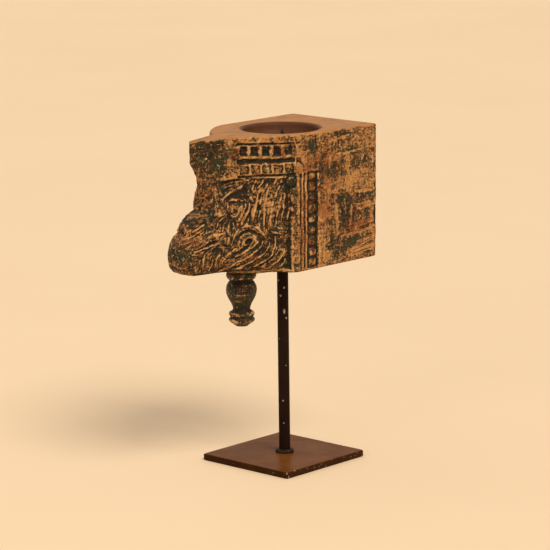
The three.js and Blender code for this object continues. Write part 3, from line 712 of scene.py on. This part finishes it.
ORANGE_FRONT = [(0.9, 37, 0.08, 3), (0.85, 12, 0.12, 8), (0.4, 14, 0.12, 6), (0.93, 72, 0.07, 12),
                (0.28, 40, 0.05, 6), (0.3, 105, 0.3, 6), (0.68, 12, 0.1, 6)]
ORANGE_SIDE = [(17.4, 40, 5, 44), (30, 46, 8, 14), (30, 84, 20, 20), (8, 40, 6, 40), (70, 30, 20, 16)]


def patches(a, b, spots):
    total = np.zeros(np.broadcast(a, b).shape)
    for x, y, wide, high in spots:
        total = total + np.exp(-((a - x) / wide) ** 2 - ((b - y) / high) ** 2)
    return clip01(total)


paint = np.full((COLS, ROWS), 0.5)
orange = np.full((COLS, ROWS), 0.3)
stir = noise(base, 11, 21) * 3.0
for c in range(COLS):
    b = rows + stir[c]
    if kind[c] in ("near", "far"):
        a = value[c] + stir[c] * 0.006
        paint[c] += 0.06 + 0.24 * patches(a, b, DARK_FRONT) - 0.24 * patches(a, b, LIGHT_FRONT)
        orange[c] += 0.6 * patches(a, b, ORANGE_FRONT)
    elif kind[c] == "back":
        paint[c] = 0.36 + 0.25 * noise(base[c], 22, 33)
    else:
        a = (value[c] if kind[c] == "near_side" else SIDE_LONG - value[c]) + stir[c]
        paint[c] += 0.46 * patches(a, b, DARK_SIDE) - 0.18 * patches(a, b, LIGHT_SIDE) - 0.13
        orange[c] += 0.55 * patches(a, b, ORANGE_SIDE)

# The block's mesh: skin, top with its dish, underside with the rod's socket

rubbed_edge = 0.7 + 1.3 * noise(base, 5, 34) + 0.8 * noise(base, 2, 35)
rubbed_top = smooth((H + rubbed_edge - (HEIGHT - 0.9)) / 0.9)
skin_values = {"cavity": cavity, "paint": paint, "orange": orange, "top": rubbed_top,
               "dish": np.zeros((COLS, ROWS)), "bare": bare}
attributes = {key: [grid.T.ravel()] for key, grid in skin_values.items()}
points = [skin.transpose(1, 0, 2).reshape(-1, 3)]
faces = grid_faces(COLS, ROWS)


def add_rings(rings, dishes, first_ring, up):
    """Rings of points inside a ring of the skin, each joined to the one before, closed by a last point."""
    total = sum(len(part) for part in points)
    before = list(first_ring)
    for ring, dish in zip(rings, dishes):
        points.append(ring)
        now = list(range(total, total + COLS))
        total += COLS
        for k in range(COLS):
            j = (k + 1) % COLS
            quad = (before[k], before[j], now[j], now[k])
            faces.append(quad if up else quad[::-1])
        for key, number in (("cavity", 0.5), ("paint", 0.3), ("orange", 0.4), ("top", up), ("dish", dish),
                            ("bare", 0)):
            attributes[key].append(np.full(COLS, float(number)))
        before = now
    points.append(rings[-1].mean(0, keepdims=True))
    faces.extend(fan(before, total, up))
    for parts in attributes.values():
        parts.append(parts[-1][:1])


rim = skin[:, -1]
top_z = BOTTOM + HEIGHT
floor_z = top_z - DISH_DEPTH
a_rim = angles_about(rim, DISH_AT)
rings, dishes = [], []
lip = circle(a_rim, DISH_AT, DISH_RADIUS + DISH_LIP, top_z)
for q in (0.12, 0.35, 0.6, 0.82, 0.92, 1):
    ring = between(rim, lip, q)
    ring[:, 2] = top_z - 0.1 - 0.22 * (1 + noise(ring, 17, 51)) * smooth(q * 4)
    rings.append(ring)
    dishes.append(0.5 * smooth((q - 0.85) / 0.15))
for q in np.linspace(0, 1, 5)[1:]:
    z = top_z - 0.3 - (DISH_LIP / 2 - 0.3) * q ** 1.8
    rings.append(circle(a_rim, DISH_AT, DISH_RADIUS + DISH_LIP * (1 - q), z))
    dishes.append(0.5 + 0.5 * q)
for q in np.linspace(1, 0, 9)[1:]:
    a = q * math.pi / 2
    radius = between(DISH_FLOOR_RADIUS, DISH_RADIUS, math.sin(a))
    rings.append(circle(a_rim, DISH_AT, radius, floor_z + (DISH_DEPTH - DISH_LIP / 2) * (1 - math.cos(a))))
floor_ring = circle(a_rim, DISH_AT, DISH_FLOOR_RADIUS, floor_z)
hole = circle(a_rim, SPIKE_AT, SPIKE_RADIUS + GAP, floor_z)
for q in (0.3, 0.7, 1):
    rings.append(between(floor_ring, hole, q))
rings.append(circle(a_rim, SPIKE_AT, SPIKE_RADIUS + GAP, floor_z - SPIKE_REACH - GAP))
dishes += [1] * (len(rings) - len(dishes))
add_rings(rings, dishes, range((ROWS - 1) * COLS, ROWS * COLS), True)

foot = skin[:, 0]
a_foot = angles_about(foot, ROD_AT)
socket = circle(a_foot, ROD_AT, ROD_RADIUS + GAP, BOTTOM)
rings = []
for q in (0.08, 0.3, 0.6, 1):
    ring = between(foot, socket, q)
    ring[:, 2] = level(0, ring[:, 1]) + 0.15 + 0.2 * (1 + noise(ring, 9, 55)) * (q < 0.99)
    rings.append(ring)
rings.append(circle(a_foot, ROD_AT, ROD_RADIUS + GAP, BOTTOM + ROD_REACH + GAP))
add_rings(rings, [0] * len(rings), range(COLS), False)

block = make_mesh("carved_bracket", np.vstack(points), faces,
                  {key: np.concatenate(parts) for key, parts in attributes.items()})


# Turned pieces, rod and plate

def turned_rings(profile, sides, centre, shake):
    """Rings round an upright axis, one for each (radius, height), pushed in or out by what shake says."""
    a = np.arange(sides) * 2 * math.pi / sides
    rings = []
    for r, z in profile:
        ring = circle(a, centre, r, z)
        push = shake(ring, a, r)
        ring[:, 0] += push * np.cos(a)
        ring[:, 1] += push * np.sin(a)
        rings.append(ring)
    return rings


def lathe(name, profile, sides, centre, shake, values):
    """A closed turned mesh from a profile going up, with values by point or by place in the profile."""
    rings = turned_rings(profile, sides, centre, shake)
    spots = np.vstack(rings + [[(*centre, profile[0][1])], [(*centre, profile[-1][1])]])
    n = len(rings) * sides
    quads = grid_faces(sides, len(rings))
    quads += fan(range(sides), n, False) + fan(range(n - sides, n), n + 1, True)
    full = {}
    for key, value in values.items():
        flat = np.asarray(value(spots[:n]) if callable(value) else np.repeat(value, sides), float)
        full[key] = np.concatenate([flat, [flat[0], flat[-1]]])
    return make_mesh(name, spots, quads, full)


# The drop, as shares of its height going down and of its radius
DROP_PROFILE = [
    (0, 0.9), (0.055, 0.965), (0.095, 0.97), (0.135, 0.9), (0.172, 0.76), (0.21, 0.85), (0.28, 0.97),
    (0.345, 1), (0.415, 0.965), (0.5, 0.85), (0.6, 0.66), (0.695, 0.566), (0.728, 0.67), (0.755, 0.81),
    (0.778, 0.84), (0.805, 0.8), (0.835, 0.74), (0.862, 0.8), (0.887, 0.845), (0.915, 0.8), (0.98, 0.5),
    (1, 0.42),
]
DROP_RINGS = 110
down = np.linspace(1, 0, DROP_RINGS)
radii = along(DROP_PROFILE, down) * DROP_RADIUS
drop_top = float(level(0.0, float(DROP_Y))) - GAP
bulge = radii - np.convolve(np.pad(radii, 7, mode="edge"), np.ones(15) / 15, mode="valid")


def drop_paint(spots):
    """Paint left on the drop: nearly all of it, rubbed off in soft upright patches."""
    rubbed = smooth((noise(spots * np.array([1, 1, 0.5]), 5.5, 63) + 0.1) / 0.7)
    return 0.95 - 0.3 * rubbed + 0.06 * noise(spots, 2.5, 64)


# The drop's cavity follows how its profile bulges out or in: through the shared material it gives the rings a
# painted highlight and the grooves painted shade
drop = lathe(
    "turned_drop_worn", list(zip(radii, drop_top - down * DROP_HEIGHT)), 72, (MIDDLE_X, DROP_Y),
    lambda ring, a, r: -0.22 + 0.16 * noise(ring, 5, 61) + 0.06 * noise(ring, 1.8, 62),
    {"cavity": clip01(0.5 + bulge / 3.6), "paint": drop_paint, "orange": np.full(DROP_RINGS, 0.1),
     "bare": np.zeros(DROP_RINGS)},
)

# Chips of the rod: height, place round the rod, tall, wide
CHIPS = [(155, -1.68, 1.0, 0.9), (148.5, -0.58, 0.9, 0.9), (141.5, -1.23, 1.0, 1.0), (127.5, -0.58, 2.2, 1.0),
         (121.5, -0.23, 1.0, 1.0), (47.5, -1.03, 0.8, 0.9), (103, -1.58, 0.6, 0.6), (79, -0.43, 0.5, 0.5),
         (27, -0.95, 0.6, 0.6), (90, 2.0, 1.6, 0.9), (60, 1.4, 0.9, 0.9), (134, 0.6, 1.0, 0.8),
         (30, 3.0, 0.9, 0.8), (112, 2.6, 0.8, 0.8)]


def chip_value(spots):
    """1 on the chips of the rod, else 0."""
    a = angles_about(spots, ROD_AT)
    total = np.zeros(len(spots))
    for z, at, tall, wide in CHIPS:
        round_gap = (a - at + math.pi) % (2 * math.pi) - math.pi
        r = np.hypot((spots[:, 2] - PLATE_THICK - z) / tall, round_gap * ROD_RADIUS / wide)
        total = np.maximum(total, smooth((1.2 - r + 0.25 * noise(spots, 1.1, 65)) / 0.4))
    return total


rod_low = PLATE_THICK + GAP
rod_stops = [rod_low, *np.linspace(rod_low + 0.2, BOTTOM, 330), BOTTOM + ROD_REACH]
rod = lathe("rod_painted", [(ROD_RADIUS, z) for z in rod_stops], 56, ROD_AT,
            lambda ring, a, r: -0.05 + 0.03 * noise(ring, 9, 66) + 0.015 * noise(ring, 2.2, 67),
            {"chip": chip_value})

# The weld: a rippled ring with a closed profile of (radius, height)
WELD_SIDES = 80
inner = ROD_RADIUS + GAP
crown = WELD_RADIUS - inner - 0.9
weld_profile = [(inner, rod_low), (inner + 0.6, rod_low)]
for t in np.linspace(0, math.pi / 2, 10):
    weld_profile.append((inner + 0.9 + crown * math.cos(t), rod_low + WELD_HEIGHT * math.sin(t) ** 0.9))
weld_profile.append((inner, rod_low + WELD_HEIGHT))


def weld_shake(ring, a, r):
    ripple = 0.28 * np.sin(a * 13 + 1.5 * np.sin(a * 3)) + 0.25 * noise(ring, 3, 68)
    return (ripple - 0.55) * (r > inner + 0.4)


weld_rings = turned_rings(weld_profile, WELD_SIDES, ROD_AT, weld_shake)
last = (len(weld_rings) - 1) * WELD_SIDES
weld_faces = grid_faces(WELD_SIDES, len(weld_rings))
weld_faces += [(last + k, last + (k + 1) % WELD_SIDES, (k + 1) % WELD_SIDES, k) for k in range(WELD_SIDES)]
weld = make_mesh("weld_ring", np.vstack(weld_rings), weld_faces)

spike_low = floor_z - SPIKE_REACH
spike_profile = [(SPIKE_RADIUS * 0.98, spike_low), (SPIKE_RADIUS * 0.98, floor_z - 0.5)]
for q in np.linspace(0, 1, 24):
    narrowed = 1 - 0.8 * smooth((q - 0.6) / 0.4)
    spike_profile.append((SPIKE_RADIUS * 0.97 * narrowed, floor_z + (SPIKE_HEIGHT - 0.05) * q))
spike = lathe("spike_nail", spike_profile, 28, SPIKE_AT,
              lambda ring, a, r: np.minimum(0, 0.09 * noise(ring, 1.6, 69) - 0.03) * (r > 0.6), {})

# The plate: a slab with rounded edges, in square rings from the middle of its underside to that of its top
ROUNDING = 0.8
half = PLATE_SIDE / 2


def rounded_edge(start, end, z):
    """Reaches and heights round an edge, between two angles from straight up."""
    return [(half - ROUNDING + ROUNDING * math.sin(a), z + ROUNDING * math.cos(a))
            for a in np.linspace(start, end, 7)]


edge = list(np.linspace(-half, half, 101))[:-1]
square = np.array([(x, -half) for x in edge] + [(half, y) for y in edge] + [(-x, half) for x in edge]
                  + [(-half, -y) for y in edge])
layers = [(share * half, PLATE_THICK) for share in np.linspace(0.06, 0.96, 19)]
layers += rounded_edge(0, math.pi / 2, PLATE_THICK - ROUNDING)
layers += [(half, z) for z in np.linspace(PLATE_THICK - ROUNDING, ROUNDING, 7)[1:-1]]
layers += rounded_edge(math.pi / 2, math.pi, ROUNDING)
layers += [(share * half, 0) for share in (0.9, 0.6, 0.3, 0.06)]
spots = np.vstack([np.column_stack([square * (reach / half), np.full(len(square), float(z))])
                   for reach, z in layers[::-1]])

# Its wear: small bites and flecks along the edges, most at the front corner and on the side that is seen
sides = np.abs(spots[:, :2])
edge_near = smooth((sides.max(1) - (half - 1.6)) / 1.6)
corner_near = smooth((sides.min(1) - (half - 3.4)) / 3.4)
bite = smooth((noise(spots, 2.6, 72) - 0.5) / 0.4) * edge_near
front = np.exp(-np.hypot(spots[:, 0] - half, spots[:, 1] + half) / 9)
shown = 0.35 * front + 0.13 * np.exp(-(half - spots[:, 0]) / 2)
flecks = smooth((noise(spots, 1.5, 74) - 0.78 + shown) / 0.14) * edge_near
towards = spots.copy()
towards[:, 2] = PLATE_THICK / 2
inward = towards * np.array([0.97, 0.97, 1]) - spots
inward /= np.linalg.norm(inward, axis=1, keepdims=True) + 1e-9
spots = spots + inward * (0.3 * bite + 0.45 * corner_near * edge_near)[:, None]
flat_top = (spots[:, 2] > PLATE_THICK / 2) & (edge_near < 0.01)
spots[:, 2] -= np.where(flat_top, 0.03 + 0.03 * noise(spots, 20, 73), 0)
spots[:, 2] = np.clip(spots[:, 2], 0, PLATE_THICK)
# Painted shade: the plate's sides and the edges below its top are darkened
painted_side_shade = smooth((PLATE_THICK - 0.02 - spots[:, 2]) / 0.5) * edge_near
n = len(spots)
plate_faces = grid_faces(len(square), len(layers))
plate_faces += fan(range(len(square)), n, False) + fan(range(n - len(square), n), n + 1, True)
spots = np.vstack([spots, [[0, 0, 0]], [[0, 0, PLATE_THICK - 0.03]]])
plate = make_mesh("base_plate_worn", spots, plate_faces,
                  {"chip": [*flecks, 0, 0], "edge": [*painted_side_shade, 0, 0]})


# Materials

class Nodes:
    """Short words for building one material's node tree."""

    def __init__(self, name):
        self.material = bpy.data.materials.new(name)
        self.material.use_nodes = True
        self.tree = self.material.node_tree
        self.shader = self.tree.nodes["Principled BSDF"]
        self.place = self.tree.nodes.new("ShaderNodeTexCoord").outputs["Object"]

    def node(self, kind, sockets, **settings):
        """A new node, each named or numbered input linked to a socket or set to a value."""
        made = self.tree.nodes.new(kind)
        for key, setting in settings.items():
            setattr(made, key, setting)
        self.fill(made, sockets)
        return made.outputs

    def fill(self, made, sockets):
        for key, source in sockets.items():
            if isinstance(source, bpy.types.NodeSocket):
                self.tree.links.new(source, made.inputs[key])
            elif source is not None:
                made.inputs[key].default_value = source

    def math(self, what, a, b):
        return self.node("ShaderNodeMath", {0: a, 1: b}, operation=what)[0]

    def plus(self, a, b):
        return self.math("ADD", a, b)

    def times(self, a, b):
        return self.math("MULTIPLY", a, b)

    def stretched(self, x, y, z):
        return self.node("ShaderNodeMapping", {"Vector": self.place, "Scale": (x, y, z)})[0]

    def noise(self, scale, detail=4, rough=0.55, place=None, distortion=0.0):
        sockets = {"Vector": place or self.place, "Scale": scale, "Detail": detail, "Roughness": rough,
                   "Distortion": distortion}
        return self.node("ShaderNodeTexNoise", sockets)["Fac"]

    def value(self, name):
        return self.node("ShaderNodeAttribute", {}, attribute_name=name)["Fac"]

    def step(self, source, low, high):
        sockets = {"Value": source, "From Min": low, "From Max": high}
        return self.node("ShaderNodeMapRange", sockets, interpolation_type="SMOOTHSTEP")["Result"]

    def range(self, source, low, high, to_low, to_high):
        sockets = {"Value": source, "From Min": low, "From Max": high, "To Min": to_low, "To Max": to_high}
        return self.node("ShaderNodeMapRange", sockets)["Result"]

    def mix(self, share, a, b):
        a, b = (tuple(source) + (1,) if isinstance(source, tuple) else source for source in (a, b))
        return self.node("ShaderNodeMix", {0: share, 6: a, 7: b}, data_type="RGBA")[2]

    def blend(self, share, weight, a, b):
        """From a towards b by a share, taken at a weight."""
        return self.mix(self.times(share, weight), a, b)

    def bump(self, height, strength, distance):
        sockets = {"Height": height, "Strength": strength, "Distance": distance}
        return self.node("ShaderNodeBump", sockets)["Normal"]

    def finish(self, colour, roughness, normal, specular=None):
        self.fill(self.shader, {"Base Color": colour, "Roughness": roughness, "Normal": normal,
                                "Specular IOR Level": specular})
        return self.material


def srgb(r, g, b):
    """A colour as seen on a screen, 0 to 255, in the shader's linear numbers."""
    return tuple((c / 255 / 12.92) if c / 255 <= 0.04045 else ((c / 255 + 0.055) / 1.055) ** 2.4
                 for c in (r, g, b))


TAN = srgb(165, 115, 64)
PALE_TAN = srgb(188, 140, 86)
CREST_TAN_AND_HIGHLIGHT = srgb(206, 160, 104)
BROWN = srgb(110, 72, 38)
DEEP_BROWN = srgb(72, 50, 28)
RUST = srgb(128, 67, 27)
BLACK_PAINT = srgb(26, 21, 13)
GREEN_PAINT = srgb(30, 44, 26)
GREY_PAINT = srgb(60, 47, 28)
HOLLOW_PAINT_AND_SHADE = srgb(12, 9, 6)
TOP_BROWN = srgb(160, 109, 62)
TOP_TAN = srgb(186, 132, 78)
TOP_DARK = srgb(126, 84, 46)
BOWL_DARK = srgb(78, 44, 24)
BOWL_BROWN = srgb(98, 58, 32)
LACQUER_RUST = srgb(70, 44, 28)
CHIP = srgb(160, 144, 124)
EDGE_SHADE = srgb(16, 11, 8)


def painted_wood(name, top_colours):
    """Dark paint scraped back to brown and tan wood, bare on the ridges and kept in the hollows, with painted
    highlights on the crests and painted shade in the hollows.

    The scales of the noises are in features per metre.
    """
    n = Nodes(name)
    cavity, paint, orange, bare = n.value("cavity"), n.value("paint"), n.value("orange"), n.value("bare")

    def part(source, weight):
        return n.times(n.math("SUBTRACT", source, 0.5), weight)

    blotch = n.noise(170, 5, 0.65)
    speck = n.noise(560, 5, 0.75)
    dust = n.noise(1900, 3, 0.7)
    upright = n.noise(1, 4, 0.65, n.stretched(520, 520, 120), 0.9)
    level_streak = n.noise(1, 4, 0.65, n.stretched(120, 120, 560), 0.9)

    # How much paint is left: by region and cavity, broken up by the noises, none on a scratch
    score = n.math("SUBTRACT", paint, part(cavity, 0.7))
    for source, weight in ((blotch, 1.5), (speck, 2.9), (upright, 1.3), (level_streak, 1.8), (dust, 0.8)):
        score = n.plus(score, part(source, weight))
    score = n.math("SUBTRACT", score, n.times(bare, 1.7))

    # Tan wood, brown where paint has soaked in, both rusty in the orange regions
    warm = n.step(n.plus(part(n.noise(230, 5, 0.7), 1.6), orange), 0.35, 0.85)
    tan = n.mix(n.step(n.noise(420, 5, 0.75), 0.4, 0.6), TAN, PALE_TAN)
    brown = n.mix(n.step(n.noise(480, 5, 0.75), 0.4, 0.6), BROWN, DEEP_BROWN)
    wood = n.blend(warm, 0.75, tan, RUST)
    brown = n.blend(warm, 0.45, brown, RUST)

    # Black, green and grey paint
    dark = n.mix(n.step(n.noise(75, 4, 0.6), 0.43, 0.56), BLACK_PAINT, GREEN_PAINT)
    dark = n.mix(n.step(n.noise(380, 4, 0.65), 0.52, 0.72), dark, GREY_PAINT)
    colour = n.mix(n.step(score, 0.14, 0.46), wood, brown)
    painted = n.step(score, 0.48, 0.7)
    colour = n.mix(painted, colour, dark)

    # Crests rubbed to tan wood and lit by a painted highlight, hollows darkened by dark paint and painted
    # shade, and dark and light specks over all
    # Painted highlight: the crests are lightened towards pale tan, over the wood rubbed bare there
    crest = n.step(n.plus(n.plus(cavity, part(speck, 1.3)), part(blotch, 2.2)), 0.74, 0.96)
    colour = n.blend(crest, 0.85, colour, CREST_TAN_AND_HIGHLIGHT)
    # Dark paint and painted shade: the hollows are darkened towards near black
    hollow_paint_and_shade = n.step(n.plus(cavity, part(speck, 0.6)), 0.42, 0.16)
    colour = n.blend(hollow_paint_and_shade, 0.72, colour, HOLLOW_PAINT_AND_SHADE)
    colour = n.blend(n.step(dust, 0.56, 0.68), 0.4, colour, DEEP_BROWN)
    colour = n.blend(n.step(n.noise(1200, 3, 0.7), 0.6, 0.7), 0.45, colour, TAN)
    roughness = n.range(painted, 0, 1, 0.58, 0.42)
    height = n.plus(n.times(painted, 0.6), n.times(speck, 0.9))

    if top_colours:
        top, dish = n.value("top"), n.value("dish")
        grain = n.noise(1, 5, 0.6, n.stretched(420, 60, 420))
        plain = n.mix(n.step(grain, 0.3, 0.7), TOP_BROWN, TOP_TAN)
        plain = n.blend(n.step(n.noise(60, 4), 0.5, 0.75), 0.5, plain, TOP_DARK)
        bowl = n.mix(n.noise(90, 4), BOWL_DARK, BOWL_BROWN)
        plain = n.mix(n.step(dish, 0.3, 0.8), plain, bowl)
        colour = n.mix(top, colour, plain)
        roughness = n.plus(n.times(roughness, n.math("SUBTRACT", 1.0, top)), n.times(0.5, top))
        height = n.times(height, n.math("SUBTRACT", 1.0, n.times(top, 0.8)))
    return n.finish(colour, roughness, n.bump(height, 0.8, 0.0007), 0.2)


def lacquered_steel(name, low, high, rough, bump, specular, chip=None, edge=None):
    """Dark brown lacquer on steel, a little cloudy, with chips, and painted shade darkening the edges, where
    the mesh has them.
    """
    n = Nodes(name)
    colour = n.mix(n.step(n.noise(40, 4, 0.6), 0.35, 0.7), low, high)
    colour = n.blend(n.step(n.noise(120, 5, 0.65), 0.6, 0.8), 0.35, colour, LACQUER_RUST)
    # painted shade on the plate's sides, where the mesh has an edge value
    if edge:
        colour = n.blend(n.value(edge), 0.75, colour, EDGE_SHADE)
    if chip:
        colour = n.blend(n.step(n.value(chip), 0.35, 0.75), 0.85, colour, CHIP)
    roughness = n.range(n.noise(70, 4), 0.3, 0.7, *rough)
    height = n.plus(n.times(n.noise(800, 3, 0.6), 0.5), n.times(n.noise(150, 3), 0.5))
    return n.finish(colour, roughness, n.bump(height, bump, 0.0002), specular)


PIECES = [
    (block, "carved_block", "painted_wood", painted_wood("scraped_painted_wood", True)),
    (drop, "turned_drop", "painted_drop", painted_wood("worn_green_paint", False)),
    # The plate's colours are lighter than its dark brown lacquer: a painted sheen, with little specular of
    # its own
    (plate, "base_plate", "stand_steel", lacquered_steel(
        "plate_lacquer_and_sheen", srgb(94, 54, 20), srgb(112, 68, 30), (0.24, 0.34), 0.1, 0.03, "chip", "edge")),
    (rod, "rod", "stand_steel", lacquered_steel(
        "rod_lacquer", srgb(25, 12, 7), srgb(37, 20, 11), (0.45, 0.6), 0.25, 0.06, "chip")),
    (weld, "weld_bead", "stand_steel", lacquered_steel(
        "weld_lacquer", srgb(34, 22, 13), srgb(52, 34, 20), (0.36, 0.5), 0.3, 0.12)),
    (spike, "candle_spike", "spike_steel", lacquered_steel(
        "spike_iron", srgb(20, 15, 12), srgb(32, 23, 18), (0.45, 0.6), 0.3, 0.3)),
]
for piece, node, slot, look in PIECES:
    piece.data.materials.append(look)
    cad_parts[node].data.materials.clear()
    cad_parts[node].data.materials.append(look)
    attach(piece, "root")
    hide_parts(node)

# Floor, light and camera

floor_mesh = bpy.data.meshes.new("floor")
floor_mesh.from_pydata([(-15, -15, 0), (15, -15, 0), (15, 15, 0), (-15, 15, 0)], [], [(0, 1, 2, 3)])
floor = linked("floor", floor_mesh)
paper = Nodes("floor_paper")
paper_colour = paper.mix(paper.noise(3, 2), srgb(238, 215, 184), srgb(244, 222, 192))
floor_mesh.materials.append(paper.finish(paper_colour, 0.7, None))


def add_light(name, what, power, colour, direction):
    data = bpy.data.lights.new(name, what)
    data.energy = power
    data.color = colour
    lamp = linked(name, data)
    lamp.rotation_mode = "QUATERNION"
    lamp.rotation_quaternion = Vector(direction).to_track_quat("-Z", "Y")
    return lamp


FRONT_AT = (0.5, -2.0, 1.0)
FRONT_TARGET = (0, -0.02, 0.2)
sun = add_light("key", "SUN", 1.9, (1.0, 0.87, 0.7), (-0.95, 0.22, -1.15))
sun.data.angle = math.radians(24)
front_lamp = add_light("front", "AREA", 7, (1.0, 0.9, 0.78), Vector(FRONT_TARGET) - Vector(FRONT_AT))
front_lamp.data.shape = "DISK"
front_lamp.data.size = 1.4
front_lamp.location = FRONT_AT

world = bpy.data.worlds.new("studio")
bpy.context.scene.world = world
world.use_nodes = True
background = world.node_tree.nodes["Background"]
background.inputs["Color"].default_value = (1.0, 0.88, 0.74, 1)
background.inputs["Strength"].default_value = 0.62

bpy.context.scene.view_settings.view_transform = "Standard"

# The camera, fitted to the photograph: its turn, tilt and roll in radians, its place in metres, and a
# focal length of 3000 of the photograph's 550 pixels
YAW, PITCH, ROLL = -0.7471, 0.2002, 0.0132
CAMERA_AT = (1.73714, -1.88357, 0.68492)
SENSOR = 36
forward = Vector((math.sin(YAW) * math.cos(PITCH), math.cos(YAW) * math.cos(PITCH), -math.sin(PITCH)))
right = Vector((math.cos(YAW), -math.sin(YAW), 0))
below = forward.cross(right)
camera_data = bpy.data.cameras.new("camera")
camera_data.lens = 3000 * SENSOR / 550
camera_data.sensor_width = SENSOR
camera = linked("camera", camera_data)
turned = Matrix((right, -below, -forward)).transposed() @ Matrix.Rotation(-ROLL, 3, "Z")
camera.matrix_world = Matrix.Translation(CAMERA_AT) @ turned.to_4x4()
bpy.context.scene.camera = camera
